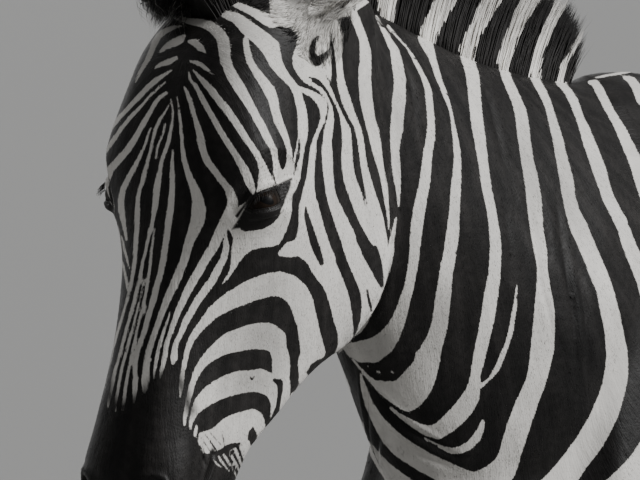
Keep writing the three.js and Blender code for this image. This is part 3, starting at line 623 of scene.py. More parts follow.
# Folds of loose skin: (across, down, depth) in pixels and millimetres.
SKIN_FOLDS = {
    "throat": [
        (343, 353, 1.5), (357, 373, 2.4), (387, 407, 2.4), (410, 428, 2.2), (434, 443, 1.8),
        (455, 456, 0.6),
    ],
    "throat_lower": [(362, 392, 0.5), (378, 420, 1.6), (400, 441, 1.8), (425, 456, 1.4), (452, 467, 0.5)],
    "neck_one": [
        (522, 178, 0.3), (529, 205, 1.1), (536, 240, 1.3), (541, 280, 1.3), (549, 312, 1), (553, 345, 0.3),
    ],
    "neck_two": [(538, 196, 0.3), (545, 235, 1.1), (549, 275, 0.9), (557, 310, 0.4)],
    "neck_three": [(556, 196, 0.3), (561, 235, 1.2), (568, 280, 1.4), (574, 320, 1.2), (575, 362, 0.4)],
    "neck_four": [(578, 270, 0.3), (584, 305, 1.2), (588, 345, 1), (587, 372, 0.3)],
    "neck_five": [(503, 205, 0.3), (510, 245, 0.9), (513, 282, 0.3)],
    "crest_one": [(482, 80, 0.3), (491, 108, 1.2), (498, 135, 1.1), (504, 165, 0.3)],
    "crest_two": [(515, 84, 0.3), (522, 108, 1.1), (529, 138, 0.3)],
    "crest_three": [(531, 78, 0.3), (543, 108, 1.1), (556, 140, 1.2), (569, 180, 0.3)],
    "crest_four": [(576, 86, 0.3), (588, 108, 1), (603, 136, 0.3)],
    "crest_five": [(602, 84, 0.3), (615, 108, 1), (633, 138, 0.3)],
    "nape_one": [(382, 70, 0.3), (392, 100, 1), (397, 140, 1.1), (392, 180, 0.9), (388, 215, 0.3)],
    "nape_two": [(404, 60, 0.3), (412, 90, 0.9), (416, 130, 0.3)],
    "jaw_back": [(389, 214, 0.8), (388, 245, 1.4), (384, 280, 1.4), (372, 312, 1.4), (355, 340, 1)],
}

# The line where the nose stripes end in the dark muzzle.
NOSE_TIPS = [
    (100, 409, 0), (125, 406, 0), (141, 398, 0), (156, 379, 0), (175, 371, 0), (184, 392, 0), (190, 410, 0),
]

# White strokes that the camera doesn't see, square from the side.
# Each is a line of (back from the withers, height, half width) in mm.
BARREL_STRIPES = {
    "sixth": [
        (-171, 1095, 17), (-160, 1050, 18), (-156, 1006, 21), (-163, 978, 22), (-177, 949, 23),
        (-195, 921, 22), (-223, 892, 21), (-262, 868, 19), (-310, 852, 17), (-380, 846, 15),
    ],
    "seventh": [
        (-117, 1178, 12), (-107, 1149, 14), (-103, 1119, 15), (-90, 1089, 16), (-88, 1050, 17),
        (-96, 1010, 19), (-106, 975, 20), (-122, 942, 21), (-148, 912, 20), (-184, 882, 19),
        (-228, 845, 18), (-278, 815, 16), (-360, 800, 14),
    ],
    "breast_low": [(-370, 766, 12), (-316, 768, 13), (-268, 780, 13), (-232, 802, 11), (-204, 826, 6)],
    "breast_keel": [(-370, 724, 11), (-316, 722, 12), (-268, 730, 13), (-228, 752, 12), (-196, 778, 7)],
    "breast_edge": [(-300, 684, 8), (-250, 690, 11), (-215, 706, 11), (-186, 728, 6)],
    "eighth": [
        (-22, 1231, 11), (-29, 1202, 13), (-33, 1175, 15), (-34, 1140, 16), (-30, 1100, 17),
        (-18, 1060, 18), (2, 1020, 19), (28, 980, 20), (54, 938, 20), (78, 892, 21), (95, 850, 21),
        (106, 805, 20), (110, 765, 18), (106, 730, 16), (100, 690, 14),
    ],
    "ninth": [
        (72, 1282, 6), (56, 1266, 12), (45, 1240, 14), (42, 1205, 16), (46, 1165, 17), (55, 1120, 18),
        (68, 1070, 19), (84, 1015, 20), (104, 955, 21), (126, 895, 22), (148, 838, 22), (164, 785, 21),
        (174, 735, 19), (180, 685, 17),
    ],
    "tenth": [
        (152, 1282, 5), (140, 1262, 13), (134, 1230, 16), (132, 1190, 17), (137, 1140, 18), (148, 1085, 19),
        (162, 1025, 20), (180, 955, 21), (200, 885, 22), (220, 815, 22), (236, 752, 20), (246, 680, 17),
    ],
    "eleventh": [
        (238, 1276, 5), (226, 1256, 14), (219, 1222, 17), (217, 1180, 18), (221, 1125, 19), (231, 1060, 20),
        (244, 990, 21), (260, 920, 22), (278, 850, 22), (294, 785, 21), (306, 730, 19), (312, 672, 16),
    ],
    "twelfth": [
        (326, 1268, 5), (313, 1246, 14), (305, 1212, 18), (301, 1165, 19), (302, 1105, 20), (309, 1040, 21),
        (320, 970, 22), (334, 900, 22), (349, 830, 22), (362, 765, 20), (371, 710, 18), (374, 668, 15),
    ],
    "thirteenth": [
        (416, 1260, 5), (402, 1238, 14), (392, 1202, 18), (386, 1150, 20), (384, 1090, 21), (388, 1020, 22),
        (396, 950, 22), (408, 880, 22), (420, 812, 21), (430, 750, 20), (436, 700, 17), (438, 670, 15),
    ],
    "flank_bow": [
        (497, 676, 14), (495, 730, 18), (494, 790, 21), (497, 855, 23), (508, 920, 24), (530, 985, 25),
        (566, 1046, 26), (614, 1102, 26), (670, 1150, 25), (730, 1190, 24), (788, 1220, 21),
        (836, 1243, 16), (868, 1256, 6),
    ],
    "saddle_one": [
        (506, 1262, 5), (494, 1236, 14), (486, 1195, 18), (480, 1145, 19), (478, 1090, 18), (482, 1035, 14),
        (488, 990, 9), (493, 955, 3),
    ],
    "saddle_two": [
        (598, 1262, 5), (588, 1238, 14), (578, 1202, 17), (570, 1165, 15), (564, 1128, 10), (560, 1096, 3),
    ],
    "saddle_three": [(690, 1268, 5), (680, 1248, 13), (670, 1226, 13), (661, 1203, 9), (654, 1186, 3)],
    "haunch_one": [
        (566, 700, 10), (564, 760, 15), (566, 820, 19), (575, 880, 23), (596, 940, 26), (632, 998, 28),
        (682, 1050, 28), (742, 1094, 27), (808, 1130, 25), (872, 1158, 23), (930, 1180, 20),
        (985, 1196, 16), (1040, 1206, 12),
    ],
    "haunch_two": [
        (632, 762, 12), (636, 815, 18), (648, 866, 23), (676, 918, 26), (720, 966, 28), (776, 1006, 28),
        (838, 1040, 26), (900, 1066, 23), (955, 1084, 20), (1010, 1096, 16),
    ],
    "haunch_three": [
        (672, 765, 12), (690, 812, 18), (724, 858, 23), (774, 900, 25), (832, 934, 25), (890, 960, 23),
        (942, 978, 20), (1000, 990, 17),
    ],
    "thigh_one": [
        (664, 706, 10), (694, 745, 15), (738, 785, 19), (792, 821, 22), (850, 848, 22), (905, 868, 20),
        (952, 880, 17), (1000, 888, 14),
    ],
    "thigh_two": [
        (680, 662, 11), (722, 698, 14), (774, 734, 18), (832, 765, 19), (890, 788, 18), (940, 803, 15),
    ],
    "thigh_three": [(700, 622, 11), (752, 655, 14), (808, 684, 16), (866, 708, 16), (925, 728, 13)],
    "gaskin_one": [(728, 582, 10), (780, 606, 13), (836, 630, 14), (890, 648, 13), (935, 660, 11)],
    "gaskin_two": [(756, 540, 10), (806, 560, 12), (856, 577, 13), (925, 595, 11)],
    "gaskin_three": [(770, 500, 9), (826, 514, 11), (876, 526, 12), (935, 538, 10)],
}

# The legs' middles as (height, back from the withers), and the white bands on legs and tail as
# (height, half width), all in mm.
FORELEG_MIDDLE = [
    (1130, -60), (960, -69), (880, -81), (810, -100), (740, -104), (660, -109), (570, -116), (480, -120),
    (418, -117), (290, -117), (205, -115), (130, -128), (68, -140), (0, -150),
]
FORELEG_BANDS = [
    (1008, 13), (938, 14), (872, 14), (810, 13), (754, 13), (703, 12), (656, 12), (612, 12), (570, 11),
    (531, 10), (495, 9), (462, 9), (430, 9), (400, 8), (371, 8), (343, 8), (316, 7), (290, 7), (264, 7),
    (238, 7), (212, 7), (187, 7), (160, 8), (131, 7),
]
HINDLEG_MIDDLE = [
    (520, 850), (468, 876), (375, 878), (300, 878), (212, 877), (134, 867), (70, 841), (0, 835),
]
HINDLEG_BANDS = [
    (472, 9), (440, 9), (409, 8), (379, 8), (350, 8), (322, 7), (294, 7), (267, 7), (240, 7), (213, 7),
    (186, 7), (158, 8), (128, 7),
]
TAIL_BANDS = [(1112, 12), (1070, 13), (1026, 12), (986, 11), (948, 10), (912, 9), (878, 8)]

# ---- Shader maths written as Python ----


class Wire:
    """A socket in a material, whose sums and products add the nodes for them."""

    def __init__(self, paint, socket):
        self.paint = paint
        self.socket = socket

    def __add__(self, other):
        return self.paint.maths("ADD", self, other)

    def __radd__(self, other):
        return self.paint.maths("ADD", other, self)

    def __sub__(self, other):
        return self.paint.maths("SUBTRACT", self, other)

    def __rsub__(self, other):
        return self.paint.maths("SUBTRACT", other, self)

    def __mul__(self, other):
        return self.paint.maths("MULTIPLY", self, other)

    def __rmul__(self, other):
        return self.paint.maths("MULTIPLY", other, self)

    def __truediv__(self, other):
        return self.paint.maths("DIVIDE", self, other)

    def __rtruediv__(self, other):
        return self.paint.maths("DIVIDE", other, self)


class Paint:
    """A procedural material under construction."""

    def __init__(self, name):
        self.material = bpy.data.materials.new(name)
        self.material.use_nodes = True
        self.nodes = self.material.node_tree.nodes
        self.links = self.material.node_tree.links
        self.shader = self.nodes["Principled BSDF"]

    def node(self, kind, settings=None, output=0, **values):
        """Adds a node: its settings first, then its sockets' values or wires; gives back one output.

        A socket is named, with _ for a space, or numbered: i0 is the first.
        """
        made = self.nodes.new(kind)
        for key, value in (settings or {}).items():
            setattr(made, key, value)
        for key, value in values.items():
            numbered = key[0] == "i" and key[1:].isdigit()
            self.feed(made.inputs[int(key[1:]) if numbered else key.replace("_", " ")], value)
        return Wire(self, made.outputs[output])

    def feed(self, socket, value):
        if isinstance(value, Wire):
            self.links.new(value.socket, socket)
        elif isinstance(value, tuple) and socket.type == "RGBA" and len(value) == 3:
            socket.default_value = (*value, 1)
        else:
            socket.default_value = value

    def maths(self, operation, a, b):
        return self.node("ShaderNodeMath", {"operation": operation}, i0=a, i1=b)

    def vector(self, operation, **values):
        return self.node("ShaderNodeVectorMath", {"operation": operation}, **values)

    def smooth(self, value, low, high):
        """0 below low, 1 above high, smooth between."""
        settings = {"interpolation_type": "SMOOTHSTEP"}
        return self.node("ShaderNodeMapRange", settings, Value=value, From_Min=low, From_Max=high)

    def mix(self, share, first, second):
        """A blend of two colours."""
        settings = {"data_type": "RGBA"}
        return self.node("ShaderNodeMix", settings, output=2, i0=share, i6=first, i7=second)

    def tint(self, colour, factor):
        """A colour or a direction times a number."""
        return self.vector("SCALE", i0=colour, i3=factor)

    def attribute(self, name, output=2):
        return self.node("ShaderNodeAttribute", {"attribute_name": name}, output=output)

    def position(self):
        return self.node("ShaderNodeNewGeometry", output=0)

    def noise(self, place, scale, detail=2.0, roughness=0.5):
        return self.node("ShaderNodeTexNoise", Vector=place, Scale=scale, Detail=detail, Roughness=roughness)

    def streaks(self, place, flow, scale, step, taps=5):
        """Noise drawn out along the lie of the hair: the mean of some taps in a row, a step apart."""
        total = 0.0
        for tap in range(taps):
            aside = self.tint(flow, (tap - (taps - 1) / 2) * step)
            total = total + self.noise(self.vector("ADD", i0=place, i1=aside), scale, 1.0)
        return total / taps

    def bump(self, height, distance):
        return self.node("ShaderNodeBump", Height=height, Distance=distance, Strength=1.0)

    def finish(self, **values):
        for key, value in values.items():
            self.feed(self.shader.inputs[key.replace("_", " ")], value)
        return self.material


WHITE_HAIR = (0.70, 0.68, 0.645)
BLACK_HAIR = (0.0088, 0.0080, 0.0076)
BARE_SKIN = (0.0105, 0.0094, 0.009)

# Streaks in the coat: the noise's scale, and the step along the hair in metres.
GRAIN = (820.0, 0.0011)
LOCKS = (260.0, 0.0035)
SWEEPS = (75.0, 0.011, 4)

PATCH_SCALE = 22.0
PORE_SCALE = 900.0
FINE_SCALE = 1400.0
PAINT_EDGE = 0.45  # half the width of the blend at a stripe's edge, mm
TUFT_EDGE = 0.2
HAIR_GLINT = 0.02  # weight of the sheen
COAT_BUMP = 0.0006  # height of the combed grain, metres
HAIR_BUMP = 0.0002


def coat_paint():
    """Flat fur over skin: stripes with hairy edges, a combed grain, bare dark skin at lids and muzzle."""
    paint = Paint("zebra_coat")
    place = paint.position()
    flow = paint.attribute("flow", 1)
    bare = paint.attribute("bare")
    grain = paint.streaks(place, flow, *GRAIN)
    locks = paint.streaks(place, flow, *LOCKS)
    sweeps = paint.streaks(place, flow, *SWEEPS)
    patches = paint.noise(place, PATCH_SCALE, 3.0)
    mark = paint.attribute("mark") + (grain - 0.5) * 4.5 + (locks - 0.5) * 3.0
    dark = paint.smooth(mark, -PAINT_EDGE, PAINT_EDGE)
    light = 0.52 + grain * 0.34 + locks * 0.3 + patches * 0.2 + (sweeps - 0.5) * 0.5
    # painted shade: the whites lose light in patches, along with the dusky hair at the nose stripes' ends
    white = paint.tint(WHITE_HAIR, light * (1 - paint.attribute("dusk_and_shade")))
    # painted sheen: streaks along the hair brighten the black hair's colour
    painted_sheen = 0.1 + grain * 0.9 + patches * 0.5 + paint.smooth(sweeps, 0.4, 0.68) * 1.6
    # painted shade darkens the black hair here
    black = paint.tint(BLACK_HAIR, painted_sheen * (1 - paint.attribute("black_shade")))
    fur = paint.mix(dark, white, black)
    pores = paint.noise(place, PORE_SCALE, 3.0)
    skin_tone = paint.tint(BARE_SKIN, 0.6 + pores * 0.5 + patches * 0.5)
    rough = 0.62 + (grain - 0.5) * 0.5 - dark * 0.1 - bare * 0.06
    covered = 1 - bare
    height = grain * covered + locks * covered * 1.2 + sweeps * covered * 1.5 + pores * bare * 0.5
    return paint.finish(
        Base_Color=paint.mix(bare, fur, skin_tone),
        Roughness=rough,
        Normal=paint.bump(height, COAT_BUMP),
        Specular_IOR_Level=0.16,
        Sheen_Weight=HAIR_GLINT,
        Sheen_Roughness=0.5,
    )


def hair_paint(name, white, black, gloss):
    """Loose hairs and tufts: one tone to each, with fine noise."""
    paint = Paint(name)
    tone = paint.attribute("tone")
    dark = paint.smooth(paint.attribute("mark"), -TUFT_EDGE, TUFT_EDGE)
    fine = paint.noise(paint.position(), FINE_SCALE)
    light = 0.62 + tone * 0.5 + (fine - 0.5) * 0.35
    return paint.finish(
        Base_Color=paint.mix(dark, paint.tint(white, light), paint.tint(black, light * 1.2)),
        Roughness=gloss + (fine - 0.5) * 0.3,
        Normal=paint.bump(fine, HAIR_BUMP),
        Specular_IOR_Level=0.15,
        Sheen_Weight=HAIR_GLINT,
    )


# ---- Distances to strokes and outlines ----

FAR = 14.0  # how far outside a stripe its distance is still measured
TINY = 1e-9  # keeps a division by a length from dividing by nothing


def stroke_distance(points, strokes, reach=FAR):
    """Signed distance from each 2-D point to the nearest tapering stroke, negative inside it."""
    order = np.argsort(points[:, 1])
    rows = points[order, 1]
    columns = points[order, 0]
    found = np.full(len(points), reach)
    for line in strokes:
        line = np.asarray(line, float)
        for start, end in zip(line[:-1], line[1:]):
            grow = reach + max(start[2], end[2])
            first = np.searchsorted(rows, min(start[1], end[1]) - grow)
            last = np.searchsorted(rows, max(start[1], end[1]) + grow)
            near = columns[first:last]
            in_reach = (near > min(start[0], end[0]) - grow) & (near < max(start[0], end[0]) + grow)
            picked = first + np.nonzero(in_reach)[0]
            if not len(picked):
                continue
            along = end[:2] - start[:2]
            offset_x = columns[picked] - start[0]
            offset_y = rows[picked] - start[1]
            t = np.clip((offset_x * along[0] + offset_y * along[1]) / (along @ along + TINY), 0, 1)
            distance = np.hypot(offset_x - t * along[0], offset_y - t * along[1])
            distance -= start[2] + t * (end[2] - start[2])
            found[picked] = np.minimum(found[picked], distance)
    result = np.empty(len(points))
    result[order] = found
    return result


def patch_distance(points, outlines, reach=FAR):
    """Signed distance from each 2-D point to the nearest closed outline, negative inside it."""
    found = np.full(len(points), reach)
    for outline in outlines:
        outline = np.asarray(outline, float)
        low = outline.min(0) - reach
        high = outline.max(0) + reach
        picked = np.nonzero(((points > low) & (points < high)).all(1))[0]
        if not len(picked):
            continue
        spots = points[picked]
        distance = np.full(len(picked), reach)
        inside = np.zeros(len(picked), bool)
        for start, end in zip(outline, np.roll(outline, -1, 0)):
            along = end - start
            offset = spots - start
            t = np.clip(offset @ along / (along @ along + TINY), 0, 1)
            distance = np.minimum(distance, np.hypot(*(offset - t[:, None] * along).T))
            crosses = (start[1] > spots[:, 1]) != (end[1] > spots[:, 1])
            if start[1] != end[1]:
                at = start[0] + (spots[:, 1] - start[1]) * along[0] / along[1]
                inside ^= crosses & (spots[:, 0] < at)
        found[picked] = np.minimum(found[picked], np.where(inside, -distance, distance))
    return found


def path_distance(spots, path):
    """Distance from 3-D spots to a line through points, in the same units, and how far along it they are."""
    best = np.full(len(spots), np.inf)
    along = np.zeros(len(spots))
    path = np.asarray(path, float)
    for index, (start, end) in enumerate(zip(path[:-1], path[1:])):
        step = end - start
        t = np.clip((spots - start) @ step / (step @ step), 0, 1)
        distance = np.linalg.norm(spots - start - t[:, None] * step, axis=1)
        closer = distance < best
        best = np.where(closer, distance, best)
        along = np.where(closer, index + t, along)
    return best, along / (len(path) - 1)


def rounded(line, pieces=4):
    """A smooth line through its points (Catmull-Rom), each span cut into some pieces."""
    line = np.asarray(line, float)
    ends = np.vstack([2 * line[0] - line[1], line, 2 * line[-1] - line[-2]])
    out = []
    for a, b, c, d in zip(ends[:-3], ends[1:-2], ends[2:-1], ends[3:]):
        for t in np.arange(pieces) / pieces:
            bend = (2 * a - 5 * b + 4 * c - d) * t**2
            out.append(0.5 * (2 * b + (c - a) * t + bend + (3 * b - a - 3 * c + d) * t**3))
    out.append(line[-1])
    return np.array(out)


# ---- Noise that is the same each run ----


def lattice_noise(points, scale, seed):
    """Smooth noise of about -1 to 1 at 3-D points, its features about `scale` across.

    The large whole numbers only scramble each cell's place into a value of its own.
    """
    at = points / scale
    base = np.floor(at).astype(np.int64)
    part = at - base
    part = part * part * (3 - 2 * part)
    total = np.zeros(len(points))
    for corner in range(8):
        step = np.array([corner & 1, corner >> 1 & 1, corner >> 2 & 1])
        x, y, z = (base + step).T
        mix = (x * 73856093 ^ y * 19349663 ^ z * 83492791 ^ seed * 2654435761) & 0xFFFFFF
        mix = (mix * 1103515245 + 12345) & 0x7FFFFFFF
        mix = (mix ^ mix >> 13) * 1274126177 & 0x7FFFFFFF
        weight = np.where(step, part, 1 - part).prod(1)
        total += weight * (mix / 0x3FFFFFFF - 1)
    return total * 1.3


# ---- The skin: one surface over all the flesh ----

SIDES = ("left", "right")
LEG_PARTS = {"front": ("forearm", "cannon"), "hind": ("gaskin", "cannon")}
FLESH = ["head", "neck", "trunk", "tail"]
FLESH += [f"{part}_{end}_{side}" for end, parts in LEG_PARTS.items() for part in parts for side in SIDES]
HOOVES = [f"hoof_{end}_{side}" for end in LEG_PARTS for side in SIDES]
EARS = [f"ear_{side}" for side in SIDES]
EYES = [f"eye_{side}" for side in SIDES]


def arrays(mesh):
    """A mesh's points, and the point numbers of its faces' corners in one row."""
    points = np.empty(len(mesh.vertices) * 3)
    mesh.vertices.foreach_get("co", points)
    corners = np.empty(len(mesh.loops), np.int64)
    mesh.loops.foreach_get("vertex_index", corners)
    return points.reshape(-1, 3), corners


def make_mesh(name, points, faces):
    """A mesh from arrays, where every face has the same number of corners."""
    mesh = bpy.data.meshes.new(name)
    count, sides = faces.shape
    mesh.vertices.add(len(points))
    mesh.vertices.foreach_set("co", np.asarray(points, np.float32).ravel())
    mesh.loops.add(count * sides)
    mesh.loops.foreach_set("vertex_index", faces.astype(np.int32).ravel())
    mesh.polygons.add(count)
    mesh.polygons.foreach_set("loop_start", np.arange(0, count * sides, sides, dtype=np.int32))
    mesh.update(calc_edges=True)
    return mesh


def place(name, mesh):
    piece = bpy.data.objects.new(name, mesh)
    bpy.context.scene.collection.objects.link(piece)
    return piece


def evaluated(piece):
    """The piece's mesh with its modifiers applied, in its place."""
    bpy.context.view_layer.update()
    graph = bpy.context.evaluated_depsgraph_get()
    mesh = bpy.data.meshes.new_from_object(piece.evaluated_get(graph))
    piece.modifiers.clear()
    old = piece.data
    piece.data = mesh
    bpy.data.meshes.remove(old)
    return mesh


WELD = 1e-6  # points closer than this are one, metres


def node_solid(name, inflate):
    """A CAD node's welded points, moved outwards by a distance, and its triangles."""
    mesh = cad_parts[name].data
    work = bmesh.new()
    work.from_mesh(mesh)
    bmesh.ops.remove_doubles(work, verts=work.verts, dist=WELD)
    bmesh.ops.triangulate(work, faces=work.faces)
    work.normal_update()
    points = np.array([v.co for v in work.verts])
    normals = np.array([v.normal for v in work.verts])
    faces = np.array([[v.index for v in f.verts] for f in work.faces])
    work.free()
    return points + normals * inflate, faces


def joined(parts):
    """The points and faces of several pieces in one numbering."""
    points = []
    faces = []
    start = 0
    for part_points, part_faces in parts:
        points.append(part_points)
        faces.append(part_faces + start)
        start += len(part_points)
    return np.vstack(points), np.vstack(faces)


def remesh(piece, voxel):
    """One closed surface round the piece's parts, made anew from voxels."""
    modifier = piece.modifiers.new("skin", "REMESH")
    modifier.mode = "VOXEL"
    modifier.voxel_size = voxel
    modifier.adaptivity = 0
    return evaluated(piece)


def subdivide(piece, levels=1):
    """Smaller faces on a rounder surface."""
    modifier = piece.modifiers.new("skin", "SUBSURF")
    modifier.levels = levels
    modifier.render_levels = levels
    return evaluated(piece)


def edge_pairs(mesh):
    """The two point numbers of each edge."""
    pairs = np.empty(len(mesh.edges) * 2, np.int64)
    mesh.edges.foreach_get("vertices", pairs)
    return pairs.reshape(-1, 2)


def neighbour_mean(values, pairs, count):
    """Each point's average of its neighbours' values."""
    total = np.zeros((len(values), values.shape[1]))
    for column in range(values.shape[1]):
        total[:, column] = np.bincount(pairs[:, 0], values[pairs[:, 1], column], len(values))
        total[:, column] += np.bincount(pairs[:, 1], values[pairs[:, 0], column], len(values))
    return total / count


SHRINK = 0.5
GROW = -0.52


def smoothed(points, pairs, rounds, weight=None):
    """Taubin smoothing: takes the facets off and keeps the volume."""
    count = np.maximum(np.bincount(pairs.ravel(), minlength=len(points)), 1)[:, None]
    for _ in range(rounds):
        for step in (SHRINK, GROW):
            move = neighbour_mean(points, pairs, count) - points
            points = points + move * (step if weight is None else step * weight[:, None])
    return points


def set_points(mesh, points):
    mesh.vertices.foreach_set("co", np.asarray(points, np.float32).ravel())
    mesh.update()


def vertex_normals(mesh):
    normals = np.empty(len(mesh.vertices) * 3, np.float32)
    mesh.vertices.foreach_get("normal", normals)
    return normals.reshape(-1, 3).astype(float)


def triangles_of(mesh):
    mesh.calc_loop_triangles()
    corners = np.empty(len(mesh.loop_triangles) * 3, np.int64)
    mesh.loop_triangles.foreach_get("vertices", corners)
    return corners.reshape(-1, 3)


def tube_faces(rings, around, first=0):
    """Triangles between the rings of a tube, whose points are numbered ring by ring from `first`."""
    faces = []
    for ring in range(rings - 1):
        for column in range(around):
            a = first + ring * around + column
            b = first + ring * around + (column + 1) % around
            faces += [(a, b, b + around), (a, b + around, a + around)]
    return faces


ROUGH_VOXEL = 0.0075
SKIN_VOXEL = 0.0048
ROUGH_ROUNDS = 45  # of smoothing, which takes off the solids' facets
SKIN_ROUNDS = 6
GAP_CLOSE = 0.0006
SOCKET_CLOSE = 0.0020  # the eyes are swollen this much to shut the gap around them
HOOF_INSET = -0.004

parts = [node_solid(name, GAP_CLOSE) for name in FLESH]
parts += [node_solid(name, SOCKET_CLOSE) for name in EYES]
parts += [node_solid(name, HOOF_INSET) for name in HOOVES]
skin = place("skin", make_mesh("skin", *joined(parts)))
mesh = remesh(skin, ROUGH_VOXEL)
points, _ = arrays(mesh)
set_points(mesh, smoothed(points, edge_pairs(mesh), ROUGH_ROUNDS))
mesh = subdivide(skin)


# ---- Ears ----

EAR_LENGTH = 165.0
EAR_ROOT = (12, 46, -46)  # down, out and forward of the head's origin, millimetres
EAR_AT = [0, 0.12, 0.3, 0.5, 0.7, 0.86, 1]  # shares of the ear's length
EAR_RADIUS = [27, 30, 36, 37, 31, 20, 5]
EAR_WRAP = [170, 160, 128, 112, 104, 98, 92]  # how far round the shell reaches each way, degrees
EAR_WALL = 5.6
EAR_RIM = 0.45  # the share of the wall that is left at the shell's edge
EAR_BED = 3.4  # how far the shell keeps inside the solid's outer face
EAR_ROWS = 48
EAR_COLUMNS = 40
EAR_FROM = -0.1  # the shell starts below its root, inside the head
EAR_TO = 0.985
EAR_WIDEST = 52.0  # how far from its axis the skin is still the ear's


def ear_frame(side):
    """An ear's root and its own directions: up, out of its opening, and across."""
    root = head_point(EAR_ROOT[0], EAR_ROOT[1] * side, EAR_ROOT[2])
    up = unit(-0.85 * HEAD_DOWN - 0.28 * HEAD_FRONT + 0.42 * side * HEAD_LEFT)
    facing = 0.25 * HEAD_FRONT + side * HEAD_LEFT
    facing = unit(facing - (facing @ up) * up)
    across = np.cross(up, facing)
    return root, up, facing, across


def ear_point(side, t, angle, inset):
    """Points of the ear: t from root to tip, angle round from the middle of its back, inset from its back."""
    root, up, facing, across = ear_frame(side)
    outer = np.interp(t, EAR_AT, EAR_RADIUS)
    radius = outer - inset
    offset = (
        np.multiply.outer(t * EAR_LENGTH, up)
        + np.multiply.outer(-radius * np.cos(angle) + 0.2 * outer, facing)
        + np.multiply.outer(radius * np.sin(angle), across)
    )
    return root + offset * MM


def ear_shell(side):
    """A curled shell with a thin edge, closed at its foot and its tip."""
    rows = []
    for share in np.linspace(EAR_FROM, EAR_TO, EAR_ROWS):
        wrap = math.radians(np.interp(share, EAR_AT, EAR_WRAP))
        angles = np.linspace(-wrap, wrap, EAR_COLUMNS)
        t = np.full(EAR_COLUMNS, share)
        edge = 1 - smooth_step(0.82, 1, np.abs(angles) / wrap)
        wall = EAR_WALL * (EAR_RIM + (1 - EAR_RIM) * edge)
        back = ear_point(side, t, angles, EAR_BED - 1)
        front = ear_point(side, t, angles, EAR_BED - 1 + wall)
        rows.append(np.vstack([back, front[::-1]]))
    around = 2 * EAR_COLUMNS
    faces = tube_faces(EAR_ROWS, around)
    for row, turned in ((0, False), (EAR_ROWS - 1, True)):
        for column in range(EAR_COLUMNS - 1):
            back = row * around + column
            front = row * around + around - 2 - column
            for face in ((back, back + 1, front), (back, front, front + 1)):
                faces.append(face[::-1] if turned else face)
    faces = np.array(faces)
    return np.vstack(rows), faces[:, ::-1] if side > 0 else faces


points, _ = arrays(mesh)
body = (points, triangles_of(mesh))
skin.data = make_mesh("skin", *joined([body, ear_shell(1), ear_shell(-1)]))
mesh = remesh(skin, SKIN_VOXEL)
points, _ = arrays(mesh)
set_points(mesh, smoothed(points, edge_pairs(mesh), SKIN_ROUNDS))


def on_ear(points, lowest=14, widest=EAR_WIDEST):
    """Which points lie on either ear: above its root by `lowest` and within `widest` of its axis, in mm."""
    found = np.zeros(len(points), bool)
    for side in (1, -1):
        root, up, facing, across = ear_frame(side)
        offset = (points - root) / MM
        found |= (offset @ up > lowest) & (np.hypot(offset @ facing, offset @ across) < widest)
    return found


def in_head(points):
    """Which points lie in the box round the head, cut off aslant behind the jaw."""
    down, out, front = head_frame(points).T
    return (down > -60) & (down < 560) & (front > -150 - 0.2 * down) & (np.abs(out) < 130)


def thin_out(piece, keep):
    """Fewer faces on the plain parts of the body, leaving the head and ears as they are."""
    points, _ = arrays(piece.data)
    plain = np.nonzero(~in_head(points) & ~on_ear(points, -25, 70))[0]
    piece.vertex_groups.new(name="plain").add(plain.tolist(), 1.0, "REPLACE")
    modifier = piece.modifiers.new("thin", "DECIMATE")
    modifier.ratio = keep
    modifier.vertex_group = "plain"
    mesh = evaluated(piece)
    piece.vertex_groups.clear()
    return mesh


PLAIN_KEEP = 0.56  # of all the skin's faces, after thinning
mesh = thin_out(skin, PLAIN_KEEP)

# ---- The markings over the whole body, as a distance: negative in white, positive in black ----

PICTURE_WHITES = [*FACE_STRIPES.values(), *NECK_STRIPES.values()]
PICTURE_PATCHES = [*FACE_PATCHES.values(), *NECK_PATCHES.values()]
MANE_WHITES = [*MANE_STRIPES.values(), *NECK_STRIPES.values()]

# How the bands of the legs bend: heights in mm, how steeply a band's arms fall, how far they reach.
FORELEG_SLOPE = ([120, 420, 640, 760, 900, 1010], [0.06, 0.12, 0.3, 0.6, 0.85, 1.1])
FORELEG_REACH = ([640, 760, 900, 1010], [110, 112, 104, 50])
FORELEG_TAPER = -0.85  # the share of its half width that a band has lost at the end of its arm
HINDLEG_SLOPE = ([120, 300, 480], [0.0, 0.08, 0.22])
HINDLEG_REACH = (-90, 70)
TAIL_REACH = (980, 1060)
TAIL_BACK = 1000
SPAN_CUTS = 3
BELLY_LINE = 11  # half the width of the dark line under the belly, mm
DORSAL_LINE = 12
BELLY_TOP = (790, 740)  # the line under the belly shows below these heights, mm
BELLY_FRONT = (-150, -60)  # and behind these places
BACK_LOW = (1180, 1215)  # the line on the back shows above these heights
BACK_SPAN = (-40, 960)  # and between these places


def leg_middle(line, level):
    """How far back a leg's middle lies at a height."""
    return np.interp(-level, [-height for height, _ in line], [back for _, back in line])


def side_strokes():
    """All the white strokes of the barrel, the haunch and the legs, seen square from the side."""
    lines = [rounded(line, SPAN_CUTS) for line in BARREL_STRIPES.values()]
    for level, half in FORELEG_BANDS:
        middle = leg_middle(FORELEG_MIDDLE, level)
        slope = np.interp(level, *FORELEG_SLOPE)
        reach = np.interp(level, *FORELEG_REACH)
        arms = [
            (-reach, -slope * reach, FORELEG_TAPER * half),
            (-reach / 2, -slope * (reach / 2 - 6), 0),
            (0, 2, 1),
        ]
        arms += [(-y, z, change) for y, z, change in arms[-2::-1]]
        lines.append(rounded([(middle + y, level + z, half + change) for y, z, change in arms], SPAN_CUTS))
    for level, half in HINDLEG_BANDS:
        middle = leg_middle(HINDLEG_MIDDLE, level)
        slope = np.interp(level, *HINDLEG_SLOPE)
        lines.append([(middle + reach, level + reach * slope, half) for reach in HINDLEG_REACH])
    return lines


SIDE_WHITES = side_strokes()
TAIL_RINGS = [[(back, level, half) for back in TAIL_REACH] for level, half in TAIL_BANDS]


